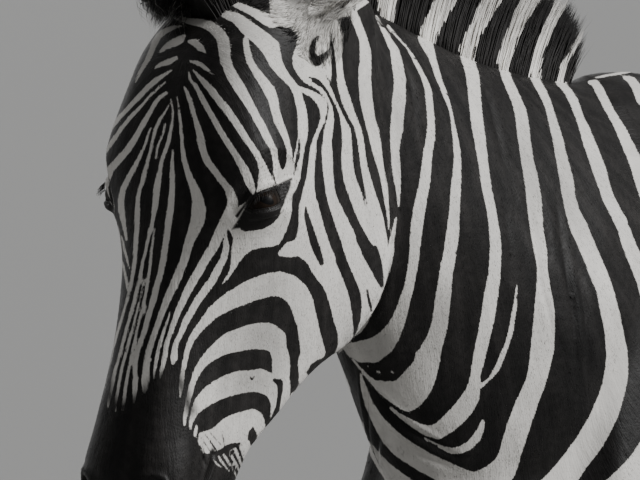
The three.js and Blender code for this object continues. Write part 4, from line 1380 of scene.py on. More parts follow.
def picture_mark(points):
    """The mark at points that the camera sees, in pixels."""
    spots = picture(points)
    white = np.minimum(stroke_distance(spots, PICTURE_WHITES), patch_distance(spots, PICTURE_PATCHES))
    dark = stroke_distance(spots, FACE_DARK.values())
    return np.maximum(white, -dark)


def side_mark(points, normals):
    """The mark seen square from the side: stripes, leg bands, tail rings, dark lines on back and belly."""
    _, lateral, _ = spine_frame(points)
    back = (points[:, 1] - CENTRING) / MM
    height = points[:, 2] / MM
    wander = lattice_noise(points, 0.16, 3) * 5 + lattice_noise(points, 0.05, 5) * 2.2
    wander += np.where(lateral < 0, lattice_noise(points, 0.22, 9) * 9, 0)
    spots = np.column_stack([back + wander, height + 0.6 * wander])
    mark = stroke_distance(spots, SIDE_WHITES)
    tail = (back > TAIL_BACK) & (np.abs(lateral) < 0.04)
    mark = np.where(tail, stroke_distance(spots, TAIL_RINGS), mark)
    middle_line = np.abs(lateral) / MM
    facing_up = normals[:, 2]
    belly = smooth_step(-0.45, -0.85, facing_up) * smooth_step(*BELLY_TOP, height)
    belly *= smooth_step(*BELLY_FRONT, back)
    mark -= belly * 5
    mark = np.maximum(mark, (BELLY_LINE - middle_line) * (belly > 0.3) - 20 * (belly <= 0.3))
    on_back = smooth_step(0.35, 0.75, facing_up) * smooth_step(*BACK_LOW, height)
    on_back *= (back > BACK_SPAN[0]) & (back < BACK_SPAN[1])
    stripe = DORSAL_LINE - middle_line + 2 * lattice_noise(points, 0.03, 7)
    return np.where(on_back > 0.5, np.maximum(mark, stripe), mark)


EAR_BANDS = [(0.30, 0.055, 9), (0.76, 0.155, 22)]  # a band's middle and half width along the ear, and in mm
EAR_WHITE = 8  # how far inside the white the rest of the ear counts as, mm


def ear_mark(points, mark):
    """White ears with a dark band round the middle of the back, a dark upper part and a white tip."""
    for side in (1, -1):
        root, up, facing, across = ear_frame(side)
        offset = (points - root) / MM
        t = offset @ up / EAR_LENGTH
        aside = np.hypot(offset @ facing, offset @ across)
        member = (t > 0.1) & (aside < EAR_WIDEST) & (t < 1.1)
        behind = -(offset @ facing)
        wave = lattice_noise(points, 0.012, 11) * 0.02
        bands = [size - np.abs(t + wave - middle) / half * size for middle, half, size in EAR_BANDS]
        outer_face = smooth_step(0, 12, behind - 6)
        on_face = np.maximum.reduce(bands) * outer_face - EAR_WHITE * (1 - outer_face)
        own = np.where(outer_face > 0, on_face, -EAR_WHITE)
        inside_edge = bell(t, 0.85, 0.12) * 10
        own = np.maximum(own, inside_edge - 6)
        share = smooth_step(0.16, 0.3, t) * member
        mark = mark * (1 - share) + own * share
    return mark


SIDE_FROM = (640, 482)  # beyond these columns and rows of the view the side stripes take over
SIDE_TO = (664, 500)
SIDE_BELOW = (0.9, 0.86)  # and below these heights, metres


def mark_at(points, normals):
    """How far points of the body are from a stripe's edge: negative in white, positive in black."""
    ahead, lateral, left = spine_frame(points)
    facing = (normals * unit(CAMERA_AT - points)).sum(1)
    other = mirrored(points, lateral, left)
    share = np.where(lateral < 0, smooth_step(0.0, 0.2, facing), 1.0)
    mark = picture_mark(points) * share + picture_mark(other) * (1 - share)
    across, down = np.where(share < 0.5, picture(other).T, picture(points).T)
    side = np.maximum.reduce(
        [
            smooth_step(SIDE_FROM[0], SIDE_TO[0], across),
            smooth_step(SIDE_FROM[1], SIDE_TO[1], down),
            smooth_step(*SIDE_BELOW, points[:, 2]),
        ]
    )
    side *= smooth_step(0.40, 0.34, ahead)
    mark = mark * (1 - side) + side_mark(points, normals) * side
    return ear_mark(points, mark)


def near_side_picture(points):
    """Where each point, or the one that matches it on the near side, falls in the camera's view."""
    _, lateral, left = spine_frame(points)
    return picture(np.where((lateral < 0)[:, None], mirrored(points, lateral, left), points))


def dimmed(spots, patches):
    """How much of the light is left at spots in the camera's view, after each patch has taken its share."""
    light = np.ones(len(spots))
    for (across, down, reach), amount in patches:
        light *= 1 - amount * bell(np.hypot(spots[:, 0] - across, spots[:, 1] - down), 0, reach)
    return light


TIP_FADE = (12, -2)  # pixels outside the line of tips where the stripes start and end to go dark
TIP_DARK = 0.93
TIP_REACH = 40


def dusk_and_shade_at(points):
    """How much light a white coat loses: to painted shade in patches, and to dusky hair, most of all at the
    ends of the nose stripes.
    """
    spots = near_side_picture(points)
    tips = smooth_step(*TIP_FADE, stroke_distance(spots, [NOSE_TIPS], TIP_REACH))
    return 1 - dimmed(spots, PAINTED_SHADE_AND_LIGHT) * (1 - TIP_DARK * tips)


def black_shade_at(points):
    """How much painted shade darkens the black hair."""
    return 1 - dimmed(near_side_picture(points), PAINTED_SHADE_ON_BLACK)


FOLD_REACH = 16  # pixels
FOLD_GROOVE = 2.6  # half width of the groove, in pixels
FOLD_RIDGE = (6.5, 3.5, 0.45)  # the ridges beside it: how far off, how wide, and their share of the depth


def fold_push(points):
    """How far the skin is pushed out, in mm, at its folds: a groove with a low ridge on each side."""
    spots = near_side_picture(points)
    push = np.zeros(len(points))
    off, wide, share = FOLD_RIDGE
    for line in SKIN_FOLDS.values():
        line = rounded(line)
        low = line[:, :2].min(0) - FOLD_REACH
        high = line[:, :2].max(0) + FOLD_REACH
        near = np.nonzero(((spots > low) & (spots < high)).all(1))[0]
        distance, along = path_distance(spots[near], line[:, :2])
        depth = np.interp(along, np.linspace(0, 1, len(line)), line[:, 2])
        push[near] += depth * (share * bell(distance, off, wide) - bell(distance, 0, FOLD_GROOVE))
    return push

# ---- The head: finer skin, then lids, nostrils, lips and folds ----

EYE_AT = (205.0, 79.0, -13.0)  # down, out, forward
EYE_RADIUS = 20.0
EYE_AXIS = np.array([0.0, 0.874, 0.486])  # where the eye looks, in the same directions
EYE_UP = np.array([1.0, 0.0, 0.0])
EYE_SIDE = np.cross(EYE_AXIS, EYE_UP)
LID_OUTLINE = [
    (247.5, 208.5), (250, 202.5), (254, 197.5), (262, 192.8), (272, 189), (280, 186), (286, 183.8),
    (289, 184),
    (287, 191), (284, 197.5), (280, 202.5), (274.5, 206.2), (267, 208.2), (258, 209.8), (251, 210.6),
]
LASH_LINE = [(251, 199.5), (256, 195.6), (262, 192.6), (270, 189.6), (278, 186.6), (288, 183.6)]


def eye_map(points, side):
    """Each point's distance from the eye's centre, its place on the eye seen square on, and its direction."""
    local = head_frame(points) * [1, side, 1] - EYE_AT
    radius = np.linalg.norm(local, axis=1)
    away = local / np.maximum(radius, 1e-6)[:, None]
    scale = 2 * EYE_RADIUS / np.maximum(1 + away @ EYE_AXIS, 0.15)
    return radius, np.column_stack([away @ EYE_UP * scale, away @ EYE_SIDE * scale]), away


def seen_on_ball(pixels, radius):
    """Where the lines of sight through pixels meet a ball round the left eye's centre."""
    offset = CAMERA_AT - head_point(*EYE_AT)
    places = []
    for pixel in pixels:
        ray = sight(pixel)
        half = ray @ offset
        inside = half * half - offset @ offset + (radius * MM) ** 2
        places.append(CAMERA_AT + ray * (-half - math.sqrt(max(inside, 0))))
    return np.array(places)


LID_EDGE = eye_map(seen_on_ball(rounded([*LID_OUTLINE, LID_OUTLINE[0]], 3)[:-1], EYE_RADIUS), 1)[1]


def refine(piece, wanted):
    """Splits the faces whose middle `wanted` accepts."""
    work = bmesh.new()
    work.from_mesh(piece.data)
    work.faces.ensure_lookup_table()
    middles = np.array([f.calc_center_median() for f in work.faces])
    edges = set()
    for index in np.nonzero(wanted(middles))[0]:
        edges.update(work.faces[index].edges)
    bmesh.ops.subdivide_edges(work, edges=list(edges), cuts=1, use_grid_fill=True)
    work.to_mesh(piece.data)
    work.free()
    piece.data.update()


def near_eye(points, reach):
    """Which points lie within a reach, in mm, of either eye's centre."""
    down, out, front = head_frame(points).T
    local = np.column_stack([down, np.abs(out), front]) - EYE_AT
    return np.linalg.norm(local, axis=1) < reach


# Lines on the left of the face, in the head's own directions, millimetres.
NOSTRIL = rounded([(473, 41, -15), (478, 40, -6), (486, 35, -2), (495, 29, -7), (502, 25, -16)])
MOUTH = rounded(
    [
        (430, 45, -66), (448, 46, -64), (468, 44, -61), (486, 36, -59), (500, 24, -58), (509, 10, -58),
        (511, 0, -58),
    ]
)
LIP_FOLD = rounded([(424, 50, -42), (436, 50, -50), (447, 47, -60)])
FACE_CREST = rounded([(228, 90, -28), (262, 80, -36), (300, 66, -40), (334, 57, -42)])


def near_lips(points, reach):
    """Which points lie within a reach, in mm, of the mouth's line or a nostril's."""
    local = np.abs(head_frame(points)) * [1, 1, -1]
    mouth, _ = path_distance(local, MOUTH)
    nostril, _ = path_distance(local, NOSTRIL)
    return np.minimum(mouth, nostril) < reach


def centres(mesh):
    """The middle and the rough width of each face."""
    middles = np.empty(len(mesh.polygons) * 3, np.float32)
    mesh.polygons.foreach_get("center", middles)
    areas = np.empty(len(mesh.polygons), np.float32)
    mesh.polygons.foreach_get("area", areas)
    return middles.reshape(-1, 3).astype(float), np.sqrt(areas.astype(float))


STRIPE_ERROR = 0.5  # how far off, in mm, a face may show its stripe's edge before it is split
STRIPE_NEAR = 3.0  # faces further than this from an edge are left alone, mm


def refine_stripes(piece, smallest):
    """Splits the faces that are too big to draw the stripes' edges across them."""
    mesh = piece.data
    points, corners = arrays(mesh)
    middles, widths = centres(mesh)
    normals = np.empty(len(mesh.polygons) * 3, np.float32)
    mesh.polygons.foreach_get("normal", normals)
    sides = np.empty(len(mesh.polygons), np.int64)
    mesh.polygons.foreach_get("loop_total", sides)
    marks = mark_at(points, vertex_normals(mesh))
    owner = np.repeat(np.arange(len(sides)), sides)
    mean = np.bincount(owner, marks[corners], len(sides)) / sides
    least = np.full(len(sides), np.inf)
    np.minimum.at(least, owner, np.abs(marks[corners]))
    centre = mark_at(middles, normals.reshape(-1, 3).astype(float))
    near_edge = np.minimum(least, np.abs(centre)) < STRIPE_NEAR
    wrong = (np.abs(centre - mean) > STRIPE_ERROR) & near_edge & (widths > smallest)
    refine(piece, lambda spots: wrong)


SPLITS = [
    # within how many mm of an eye and of the lips, folds deeper than, then stripe faces wider than, in metres
    (52, 22, 0.15, 0.0030),
    (46, 13, 0.7, 0.0017),
]
LID_SPLIT = 33
HEAD_ROUNDS = 5  # of smoothing

for eye_reach, lip_reach, fold_depth, smallest in SPLITS:
    refine(
        skin,
        lambda spots: near_eye(spots, eye_reach)
        | near_lips(spots, lip_reach)
        | (np.abs(fold_push(spots)) > fold_depth),
    )
    refine_stripes(skin, smallest)
refine(skin, lambda spots: near_eye(spots, LID_SPLIT))
mesh = skin.data
points, _ = arrays(mesh)
points = smoothed(points, edge_pairs(mesh), HEAD_ROUNDS, in_head(points).astype(float))

COAT_DEPTH = 2.4
FACE_DEPTH = 1.0


def depth_of_coat(points):
    """How far the skin lies inside the solids, less on the face and feet."""
    down, _, front = head_frame(points).T
    face = in_head(points) * smooth_step(-160, -120, front + 0.2 * down)
    low = smooth_step(560, 420, points[:, 2])
    return COAT_DEPTH - (COAT_DEPTH - FACE_DEPTH) * np.maximum(face, low)


set_points(mesh, points)
points = points - vertex_normals(mesh) * depth_of_coat(points)[:, None] * MM

LID_NEAR = 52  # mm
LID_RIM = 1.0
LID_THICK = 2.6
LID_HEAVY = 1.2  # how much thicker the upper lid is
LID_CREASE = (7.5, 1.6, 1.5)  # how far out the upper lid's crease lies, its half width, its depth
LID_EDGE_OUT = (-0.3, 2.2)  # where the lid's round edge starts and ends
LID_REACH = (15.0, 5.0)  # where the lid starts to shape the face, and where it has done so
BALL_GAP = 3.5  # how far behind the eye's face the skin lies inside the lids
BALL_STEP = (-0.9, 1.0)


def shape_lids(points, side):
    """Wraps the skin round the eye: a hollow behind the ball, a lid with a round edge and a crease."""
    radius, spot, away = eye_map(points, side)
    near = np.nonzero((radius < LID_NEAR) & (away @ EYE_AXIS > 0.0))[0]
    outside = patch_distance(spot[near], [LID_EDGE], 60)
    above = smooth_step(4, -6, spot[near, 0])
    rim = EYE_RADIUS + LID_RIM + (LID_THICK + LID_HEAVY * above) * smooth_step(*LID_EDGE_OUT, outside)
    crease_out, crease_half, crease_depth = LID_CREASE
    crease = bell(outside, crease_out, crease_half) * above * crease_depth
    lid = rim + 0.12 * np.maximum(outside - LID_EDGE_OUT[1], 0) - crease
    share = smooth_step(*LID_REACH, outside)
    wanted = radius[near] * (1 - share) + lid * share
    wanted = np.where(outside < LID_EDGE_OUT[0], EYE_RADIUS - BALL_GAP, wanted)
    on_step = (outside >= BALL_STEP[0]) & (outside < LID_EDGE_OUT[0])
    wanted = np.where(on_step, EYE_RADIUS - BALL_STEP[1], wanted)
    local = (np.array(EYE_AT) + away[near] * wanted[:, None]) * [1, side, 1]
    points = points.copy()
    points[near] = HEAD_AT + local @ HEAD_AXES * MM
    return points


for side in (1, -1):
    points = shape_lids(points, side)
set_points(mesh, points)

STRETCHED = 0.0021  # edges longer than this near an eye are split once the lids are shaped
STRETCHED_NEAR = 62
STRETCHED_PASSES = 4


def split_stretched(piece):
    """Splits the long edges near the eyes, which the lids have drawn out."""
    mesh = piece.data
    points, _ = arrays(mesh)
    ends = points[edge_pairs(mesh)]
    lengths = np.linalg.norm(ends[:, 0] - ends[:, 1], axis=1)
    chosen = np.nonzero((lengths > STRETCHED) & near_eye(ends.mean(1), STRETCHED_NEAR))[0]
    work = bmesh.new()
    work.from_mesh(mesh)
    work.edges.ensure_lookup_table()
    bmesh.ops.subdivide_edges(work, edges=[work.edges[index] for index in chosen], cuts=1, use_grid_fill=True)
    bmesh.ops.triangulate(work, faces=[face for face in work.faces if len(face.verts) > 4])
    work.to_mesh(mesh)
    work.free()
    mesh.update()


for _ in range(STRETCHED_PASSES):
    split_stretched(skin)

FACE_FROM = 120  # how far down the head the face's own lines start, mm
EYE_ROUNDS = 4  # of smoothing, round the lids
EYE_SMOOTH_TO = 60
EYE_SMOOTH_FROM = EYE_RADIUS + 9

points, _ = arrays(mesh)
around_eye = near_eye(points, EYE_SMOOTH_TO) & ~near_eye(points, EYE_SMOOTH_FROM)
points = smoothed(points, edge_pairs(mesh), EYE_ROUNDS, around_eye.astype(float))


# The face's lines: how deep or high, and half how wide, in mm.
NOSTRIL_DEEP = 15
NOSTRIL_HALF = 6.0
NOSTRIL_RIM = 1.9
MOUTH_DEEP = (5.2, 2.1)
LIP_RISE = (2.2, 4.0)
LIP_AT = 6.5  # how far from the mouth's line the lips are highest
FOLD_DEEP = (1.8, 2.0)
CREST_RISE = (2.6, 9)


def swell(along, margin):
    """0 near both ends of a line, 1 at its middle."""
    return np.sin(np.pi * np.clip(along, margin, 1 - margin))


def shape_face(points):
    """Nostrils, mouth, lips, cheek crest: moves each point along its own normal."""
    set_points(mesh, points)
    normals = vertex_normals(mesh)
    local = head_frame(points)
    picked = np.nonzero((local[:, 0] > FACE_FROM) & in_head(points))[0]
    spots = local[picked]
    spots[:, 1] = np.abs(spots[:, 1])
    distance, along = path_distance(spots, NOSTRIL)
    apart = distance / (NOSTRIL_HALF * (0.45 + 0.75 * swell(along, 0.02) ** 0.7))
    push = NOSTRIL_RIM * bell(apart, 1.9, 0.7) - NOSTRIL_DEEP * smooth_step(1.2, 0.2, apart)
    distance, along = path_distance(spots, MOUTH)
    ending = smooth_step(0, 0.06, along)
    push -= MOUTH_DEEP[0] * bell(distance, 0, MOUTH_DEEP[1]) * (0.5 + 0.5 * ending)
    push += LIP_RISE[0] * bell(distance, LIP_AT, LIP_RISE[1]) * ending
    distance, along = path_distance(spots, LIP_FOLD)
    push -= FOLD_DEEP[0] * bell(distance, 0, FOLD_DEEP[1]) * swell(along, 0.05)
    distance, along = path_distance(spots, FACE_CREST)
    push += CREST_RISE[0] * bell(distance, 0, CREST_RISE[1]) * swell(along, 0.05)
    points = points.copy()
    points[picked] += normals[picked] * push[:, None] * MM
    return points


points = shape_face(points)
folded = fold_push(points)
set_points(mesh, points)
points = points + vertex_normals(mesh) * folded[:, None] * MM
set_points(mesh, points)

EYE_BARE = [
    (248, 199), (254, 194.5), (262, 191.2), (272, 187.8), (280, 184), (290.5, 180), (290.5, 185),
    (289, 190),
    (286, 197), (284, 203), (281, 210), (278, 218), (270, 225), (262, 229), (255, 230), (245, 231),
    (240, 228),
    (236, 228.5), (231, 230), (236, 223), (241, 215), (245, 207),
]
LID_LINE = [
    (237, 216, 1.6), (242, 209, 1.3), (247, 202.5, 1.4), (252, 196.5, 1.2), (262, 191.5, 0.9),
    (275, 186.5, 0.8),
    (291, 179.5, 1.2),
]
EYE_BARE_NEAR = 60  # mm
TIP_BARE = 0.7


def bare_at(points):
    """How bare the skin is: 1 at the lids, lips and nostrils, 0 under the coat."""
    local = head_frame(points)
    face = np.nonzero((local[:, 0] > FACE_FROM) & in_head(points))[0]
    bare = np.zeros(len(points))
    spots = near_side_picture(points[face])
    lids = np.minimum(patch_distance(spots, [EYE_BARE]), stroke_distance(spots, [LID_LINE]))
    lids = np.where(near_eye(points[face], EYE_BARE_NEAR), smooth_step(1.0, -1.0, lids), 0)
    local = local[face]
    local[:, 1] = np.abs(local[:, 1])
    mouth, _ = path_distance(local, MOUTH)
    nostril, _ = path_distance(local, NOSTRIL)
    lips = np.maximum(smooth_step(7, 3, mouth), smooth_step(15, 6, nostril))
    tip = smooth_step(470, 500, local[:, 0]) * TIP_BARE
    bare[face] = np.maximum.reduce([lids, lips, tip])
    return bare


WHORL = (78.0, 4.0)  # where the forehead's hair turns, down and out
WHORL_SIZE = 60.0
FLOW_WANDER = 0.12


def head_flow(down, out):
    """Which way the face's hair lies: away from the whorl, and down the face further on."""
    turn_down = (down - WHORL[0]) / WHORL_SIZE
    turn_out = (out - WHORL[1]) / WHORL_SIZE
    reach = np.hypot(turn_down, turn_out)
    radial = np.column_stack([turn_down, turn_out, np.zeros(len(down))]) / np.maximum(reach, 0.05)[:, None]
    aside = 0.3 * np.clip(out / 60, -1, 1)
    backward = -0.45 * smooth_step(10, 70, np.abs(out))
    onward = unit(np.column_stack([np.ones(len(down)), aside, backward]))
    away = (smooth_step(0.9, 2.4, reach) * smooth_step(30, 90, down))[:, None]
    return (radial * (1 - away) + onward * away) @ HEAD_AXES


def body_flow(points, normals):
    """Which way the body's hair lies: back and down, more steeply on the neck and legs."""
    ahead, _, left = spine_frame(points)
    heading = np.cross([0, 0, 1.0], left)
    heading = np.where((heading[:, 1] > 0)[:, None], -heading, heading)
    neck = smooth_step(0.0, 0.25, ahead)
    low = smooth_step(0.78, 0.6, points[:, 2])
    fall = 0.25 + 2.6 * neck + 2.6 * low
    flow = -heading * (1 - 0.75 * low)[:, None] - np.array([0, 0, 1.0]) * fall[:, None]
    belly = smooth_step(-0.5, -0.9, normals[:, 2])[:, None]
    return flow * (1 - belly) - heading * belly


def flow_at(points, normals):
    """Which way the hair lies, along the skin."""
    down, out, front = head_frame(points).T
    share = in_head(points) * smooth_step(-150, -112, front + 0.2 * down) * smooth_step(-60, -20, down)
    share = share[:, None]
    flow = head_flow(down, out) * share + unit(body_flow(points, normals)) * (1 - share)
    for side in (1, -1):
        root, up, facing, across = ear_frame(side)
        offset = (points - root) / MM
        t = offset @ up / EAR_LENGTH
        aside = np.hypot(offset @ facing, offset @ across)
        member = (smooth_step(0.1, 0.25, t) * (aside < EAR_WIDEST))[:, None]
        flow = flow * (1 - member) + up * member
    flow = flow + FLOW_WANDER * np.column_stack([lattice_noise(points, 0.03, seed) for seed in (21, 22, 23)])
    return unit(flow - (flow * normals).sum(1)[:, None] * normals)


def add_value(mesh, name, values):
    """Gives a mesh's points a number each, or a direction each, under a name that a material reads."""
    values = np.asarray(values, np.float32)
    if values.ndim == 1:
        mesh.attributes.new(name, "FLOAT", "POINT").data.foreach_set("value", values)
    else:
        mesh.attributes.new(name, "FLOAT_VECTOR", "POINT").data.foreach_set("vector", values.ravel())


skin_points, _ = arrays(mesh)
skin_normals = vertex_normals(mesh)
skin_flow = flow_at(skin_points, skin_normals)
skin_bare = bare_at(skin_points)
add_value(mesh, "mark", mark_at(skin_points, skin_normals))
add_value(mesh, "bare", skin_bare)
add_value(mesh, "flow", skin_flow)
# painted shade on the whites, with the dusky ends of the nose stripes
add_value(mesh, "dusk_and_shade", dusk_and_shade_at(skin_points))
# painted shade on the black hair
add_value(mesh, "black_shade", black_shade_at(skin_points))
mesh.materials.append(coat_paint())
mesh.shade_smooth()

# ---- Eyes ----

IRIS_EDGE = 14.5  # mm along the ball from the middle of the pupil
PUPIL_HALF = (7.5, 3.4)  # along the eye's long way, and across it
IRIS_BROWN = (0.016, 0.010, 0.0065)
PUPIL_BLACK = (0.002, 0.002, 0.0025)
BALL_BROWN = (0.030, 0.024, 0.020)


def eye_paint():
    """A very dark brown iris with a long pupil, and a dark ball round it."""
    paint = Paint("zebra_eye")
    ring = paint.attribute("iris")
    pupil = paint.smooth(paint.attribute("pupil"), 0.85, 1.1)
    threads = paint.noise(paint.position(), 700.0, 4.0, 0.7)
    outside = paint.smooth(ring, IRIS_EDGE - 0.6, IRIS_EDGE + 0.9)
    limbus = paint.smooth(ring, IRIS_EDGE - 4.0, IRIS_EDGE)
    iris = paint.tint(IRIS_BROWN, (0.45 + threads * 1.1) * (1 - 0.6 * limbus))
    iris = paint.mix(pupil, PUPIL_BLACK, iris)
    ball = paint.tint(BALL_BROWN, 0.35 + threads * 0.5)
    return paint.finish(
        Base_Color=paint.mix(outside, iris, ball),
        Roughness=0.42 + outside * 0.15,
        Specular_IOR_Level=0.1,
    )


EYE_RINGS = 36
EYE_SPOKES = 60
EYE_TILT = math.radians(115)  # how far the ball reaches round from where the eye looks
BALL_RADIUS = EYE_RADIUS - 0.3
CORNEA_RISE = 1.5
CORNEA_EDGE = (0.62, 0.2)  # radians from where the eye looks
eye_finish = eye_paint()


def make_eyeball(side, name):
    """A ball with a raised cornea, made as rings round the way the eye looks."""
    tilt = np.linspace(0, EYE_TILT, EYE_RINGS)[1:]
    spin = np.linspace(0, 2 * math.pi, EYE_SPOKES, endpoint=False)
    tilts, spins = [grid.ravel() for grid in np.meshgrid(tilt, spin, indexing="ij")]
    rising = np.sin(tilts) * np.cos(spins)
    sideways = np.sin(tilts) * np.sin(spins)
    ball = BALL_RADIUS + CORNEA_RISE * smooth_step(*CORNEA_EDGE, tilts)
    local = (
        np.multiply.outer(np.cos(tilts), EYE_AXIS)
        + np.multiply.outer(rising, EYE_UP)
        + np.multiply.outer(sideways, EYE_SIDE)
    )
    top = EYE_AXIS * (BALL_RADIUS + CORNEA_RISE)
    local = np.vstack([top, local * ball[:, None]]) + EYE_AT
    local *= [1, side, 1]
    last = 1 + (EYE_RINGS - 2) * EYE_SPOKES
    faces = [(0, 1 + (k + 1) % EYE_SPOKES, 1 + k) for k in range(EYE_SPOKES)]
    faces += tube_faces(EYE_RINGS - 1, EYE_SPOKES, first=1)
    faces += [(last, last + k, last + k + 1) for k in range(1, EYE_SPOKES - 1)]
    faces = np.array(faces)
    points = HEAD_AT + local @ HEAD_AXES * MM
    corner = points[faces] - points.mean(0)
    if (np.cross(corner[:, 0], corner[:, 1]) * corner[:, 2]).sum() < 0:
        faces = faces[:, ::-1]
    mesh = make_mesh("eyeball_" + name, points, faces)
    spread = np.hypot(rising / PUPIL_HALF[1], sideways / PUPIL_HALF[0])
    add_value(mesh, "iris", np.append(0, tilts * EYE_RADIUS))
    add_value(mesh, "pupil", np.append(0, spread * EYE_RADIUS))
    mesh.materials.append(eye_finish)
    mesh.shade_smooth()
    eyeball = place("eyeball_" + name, mesh)
    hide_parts("eye_" + name)
    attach(eyeball, "root")


make_eyeball(1, "left")
make_eyeball(-1, "right")


# ---- Hooves ----

HORN_GREY = (0.050, 0.044, 0.040)
DUST = (0.20, 0.17, 0.14)
DUST_HEIGHT = 0.035


def horn_paint():
    """Dark horn with growth rings and upright fibres, dusty near the ground."""
    paint = Paint("hoof_horn")
    place = paint.position()
    height = paint.node("ShaderNodeSeparateXYZ", output=2, i0=place)
    rings = paint.noise(paint.vector("MULTIPLY", i0=place, i1=(0.12, 0.12, 1.0)), 330.0, 3.0)
    fibres = paint.noise(paint.vector("MULTIPLY", i0=place, i1=(1.0, 1.0, 0.06)), 900.0)
    dust = paint.smooth(height, DUST_HEIGHT, 0.0) * paint.noise(place, 60.0, 3.0)
    clean = paint.tint(HORN_GREY, 0.5 + rings * 0.7 + fibres * 0.4)
    return paint.finish(
        Base_Color=paint.mix(dust * 0.8, clean, DUST),
        Roughness=0.34 + fibres * 0.25 + dust * 0.3,
        Normal=paint.bump(rings + fibres * 0.5, 0.0012),
    )


HOOF_EDGE = math.radians(40)  # a hoof's edges sharper than this keep their corner
FACET_BEND = math.radians(35)  # two triangles that bend less than this are one facet
FLAT_BEND = math.radians(0.5)
HOOF_LEVELS = 3


def rounded_hoof(name):
    """A hoof with its facets rounded off, and the sole's edge and the upper rim kept."""
    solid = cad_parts[name]
    work = bmesh.new()
    work.from_mesh(solid.data)
    work.transform(solid.matrix_world)
    bmesh.ops.remove_doubles(work, verts=work.verts, dist=WELD)
    bmesh.ops.dissolve_limit(work, angle_limit=FLAT_BEND, verts=work.verts, edges=work.edges)
    bmesh.ops.join_triangles(
        work, faces=work.faces, angle_face_threshold=FACET_BEND, angle_shape_threshold=math.pi
    )
    crease = work.edges.layers.float.new("crease_edge")
    for edge in work.edges:
        if edge.calc_face_angle(0) > HOOF_EDGE:
            edge[crease] = 1
    mesh = bpy.data.meshes.new(name + "_horn")
    work.to_mesh(mesh)
    work.free()
    piece = place(name + "_horn", mesh)
    mesh = subdivide(piece, HOOF_LEVELS)
    mesh.shade_smooth()
    mesh.set_sharp_from_angle(angle=HOOF_EDGE)
    mesh.materials.append(horn)
    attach(piece, "root")
    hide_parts(name)


horn = horn_paint()
for name in HOOVES:
    rounded_hoof(name)

# ---- Locks of hair, long or short, as meshes ----

# The flat map: the head's tile and the body's lie side by side below, the four legs' above.
BODY_TILE = (0.02, 0.44)  # where a tile starts, and how wide it is
HEAD_TILE = (0.52, 0.46)
TURN_TILE = (0.02, 0.46)
LEG_TILE = (0.02, 0.96)
LEG_FROM = 0.52
LEG_WIDTH = 0.115
LEG_TOP = 0.72
HIND_FROM = 0.35
LEG_MIDDLES = (0.87, -0.11)  # how far back the middles of the hind and the forelegs lie
LEG_ASIDE = 0.115


def tile(span, share):
    """A place on a tile of the flat map, at a share of the tile's width."""
    start, width = span
    return start + width * share


def turn_share(across, along):
    """How far round a point lies, from 0 to 1."""
    return np.arctan2(across, along) / (2 * math.pi) + 0.5


def spread_map(points):
    """A place on the flat map for each root: the body unrolled as tubes, one tile to each part."""
    down, out, front = head_frame(points).T
    ahead, lateral, _ = spine_frame(points)
    height = points[:, 2]
    back = points[:, 1] - CENTRING
    head = in_head(points)
    low = (height < LEG_TOP) & ~head
    hind = back > HIND_FROM
    middle = np.interp(ahead, [-1.0, 0, 0.3, 0.6], [0.98, 0.98, 1.1, 1.2])
    girth = turn_share(lateral, height - middle)
    leg_turn = turn_share(np.abs(lateral) - LEG_ASIDE, back - np.where(hind, *LEG_MIDDLES))
    column = hind * 2 + (lateral > 0)
    u = np.where(
        head,
        tile(HEAD_TILE, np.clip((down + 190) / 760, 0, 1)),
        tile(BODY_TILE, np.clip((ahead + 1.02) / 1.7, 0, 1)),
    )
    v = np.where(head, tile(TURN_TILE, turn_share(out, front + 95)), tile(TURN_TILE, girth))
    u = np.where(low, tile(LEG_TILE, np.clip(height / LEG_TOP, 0, 1)), u)
    v = np.where(low, LEG_FROM + LEG_WIDTH * (column + leg_turn * 0.95), v)
    return np.column_stack([u, v])


MAP_PATCH = 0.003


def add_map(mesh, spots):
    """Gives a mesh its flat map: one spot to each corner."""
    layer = mesh.uv_layers.new(name="OFBake")
    layer.uv.foreach_set("vector", np.asarray(spots, np.float32).ravel())


LOCK_TURNS = np.array([math.pi / 2, math.pi * 7 / 6, math.pi * 11 / 6])  # a lock's three corners
LOCK_FLAT = 0.7  # how thin a lock is, as a share of its width


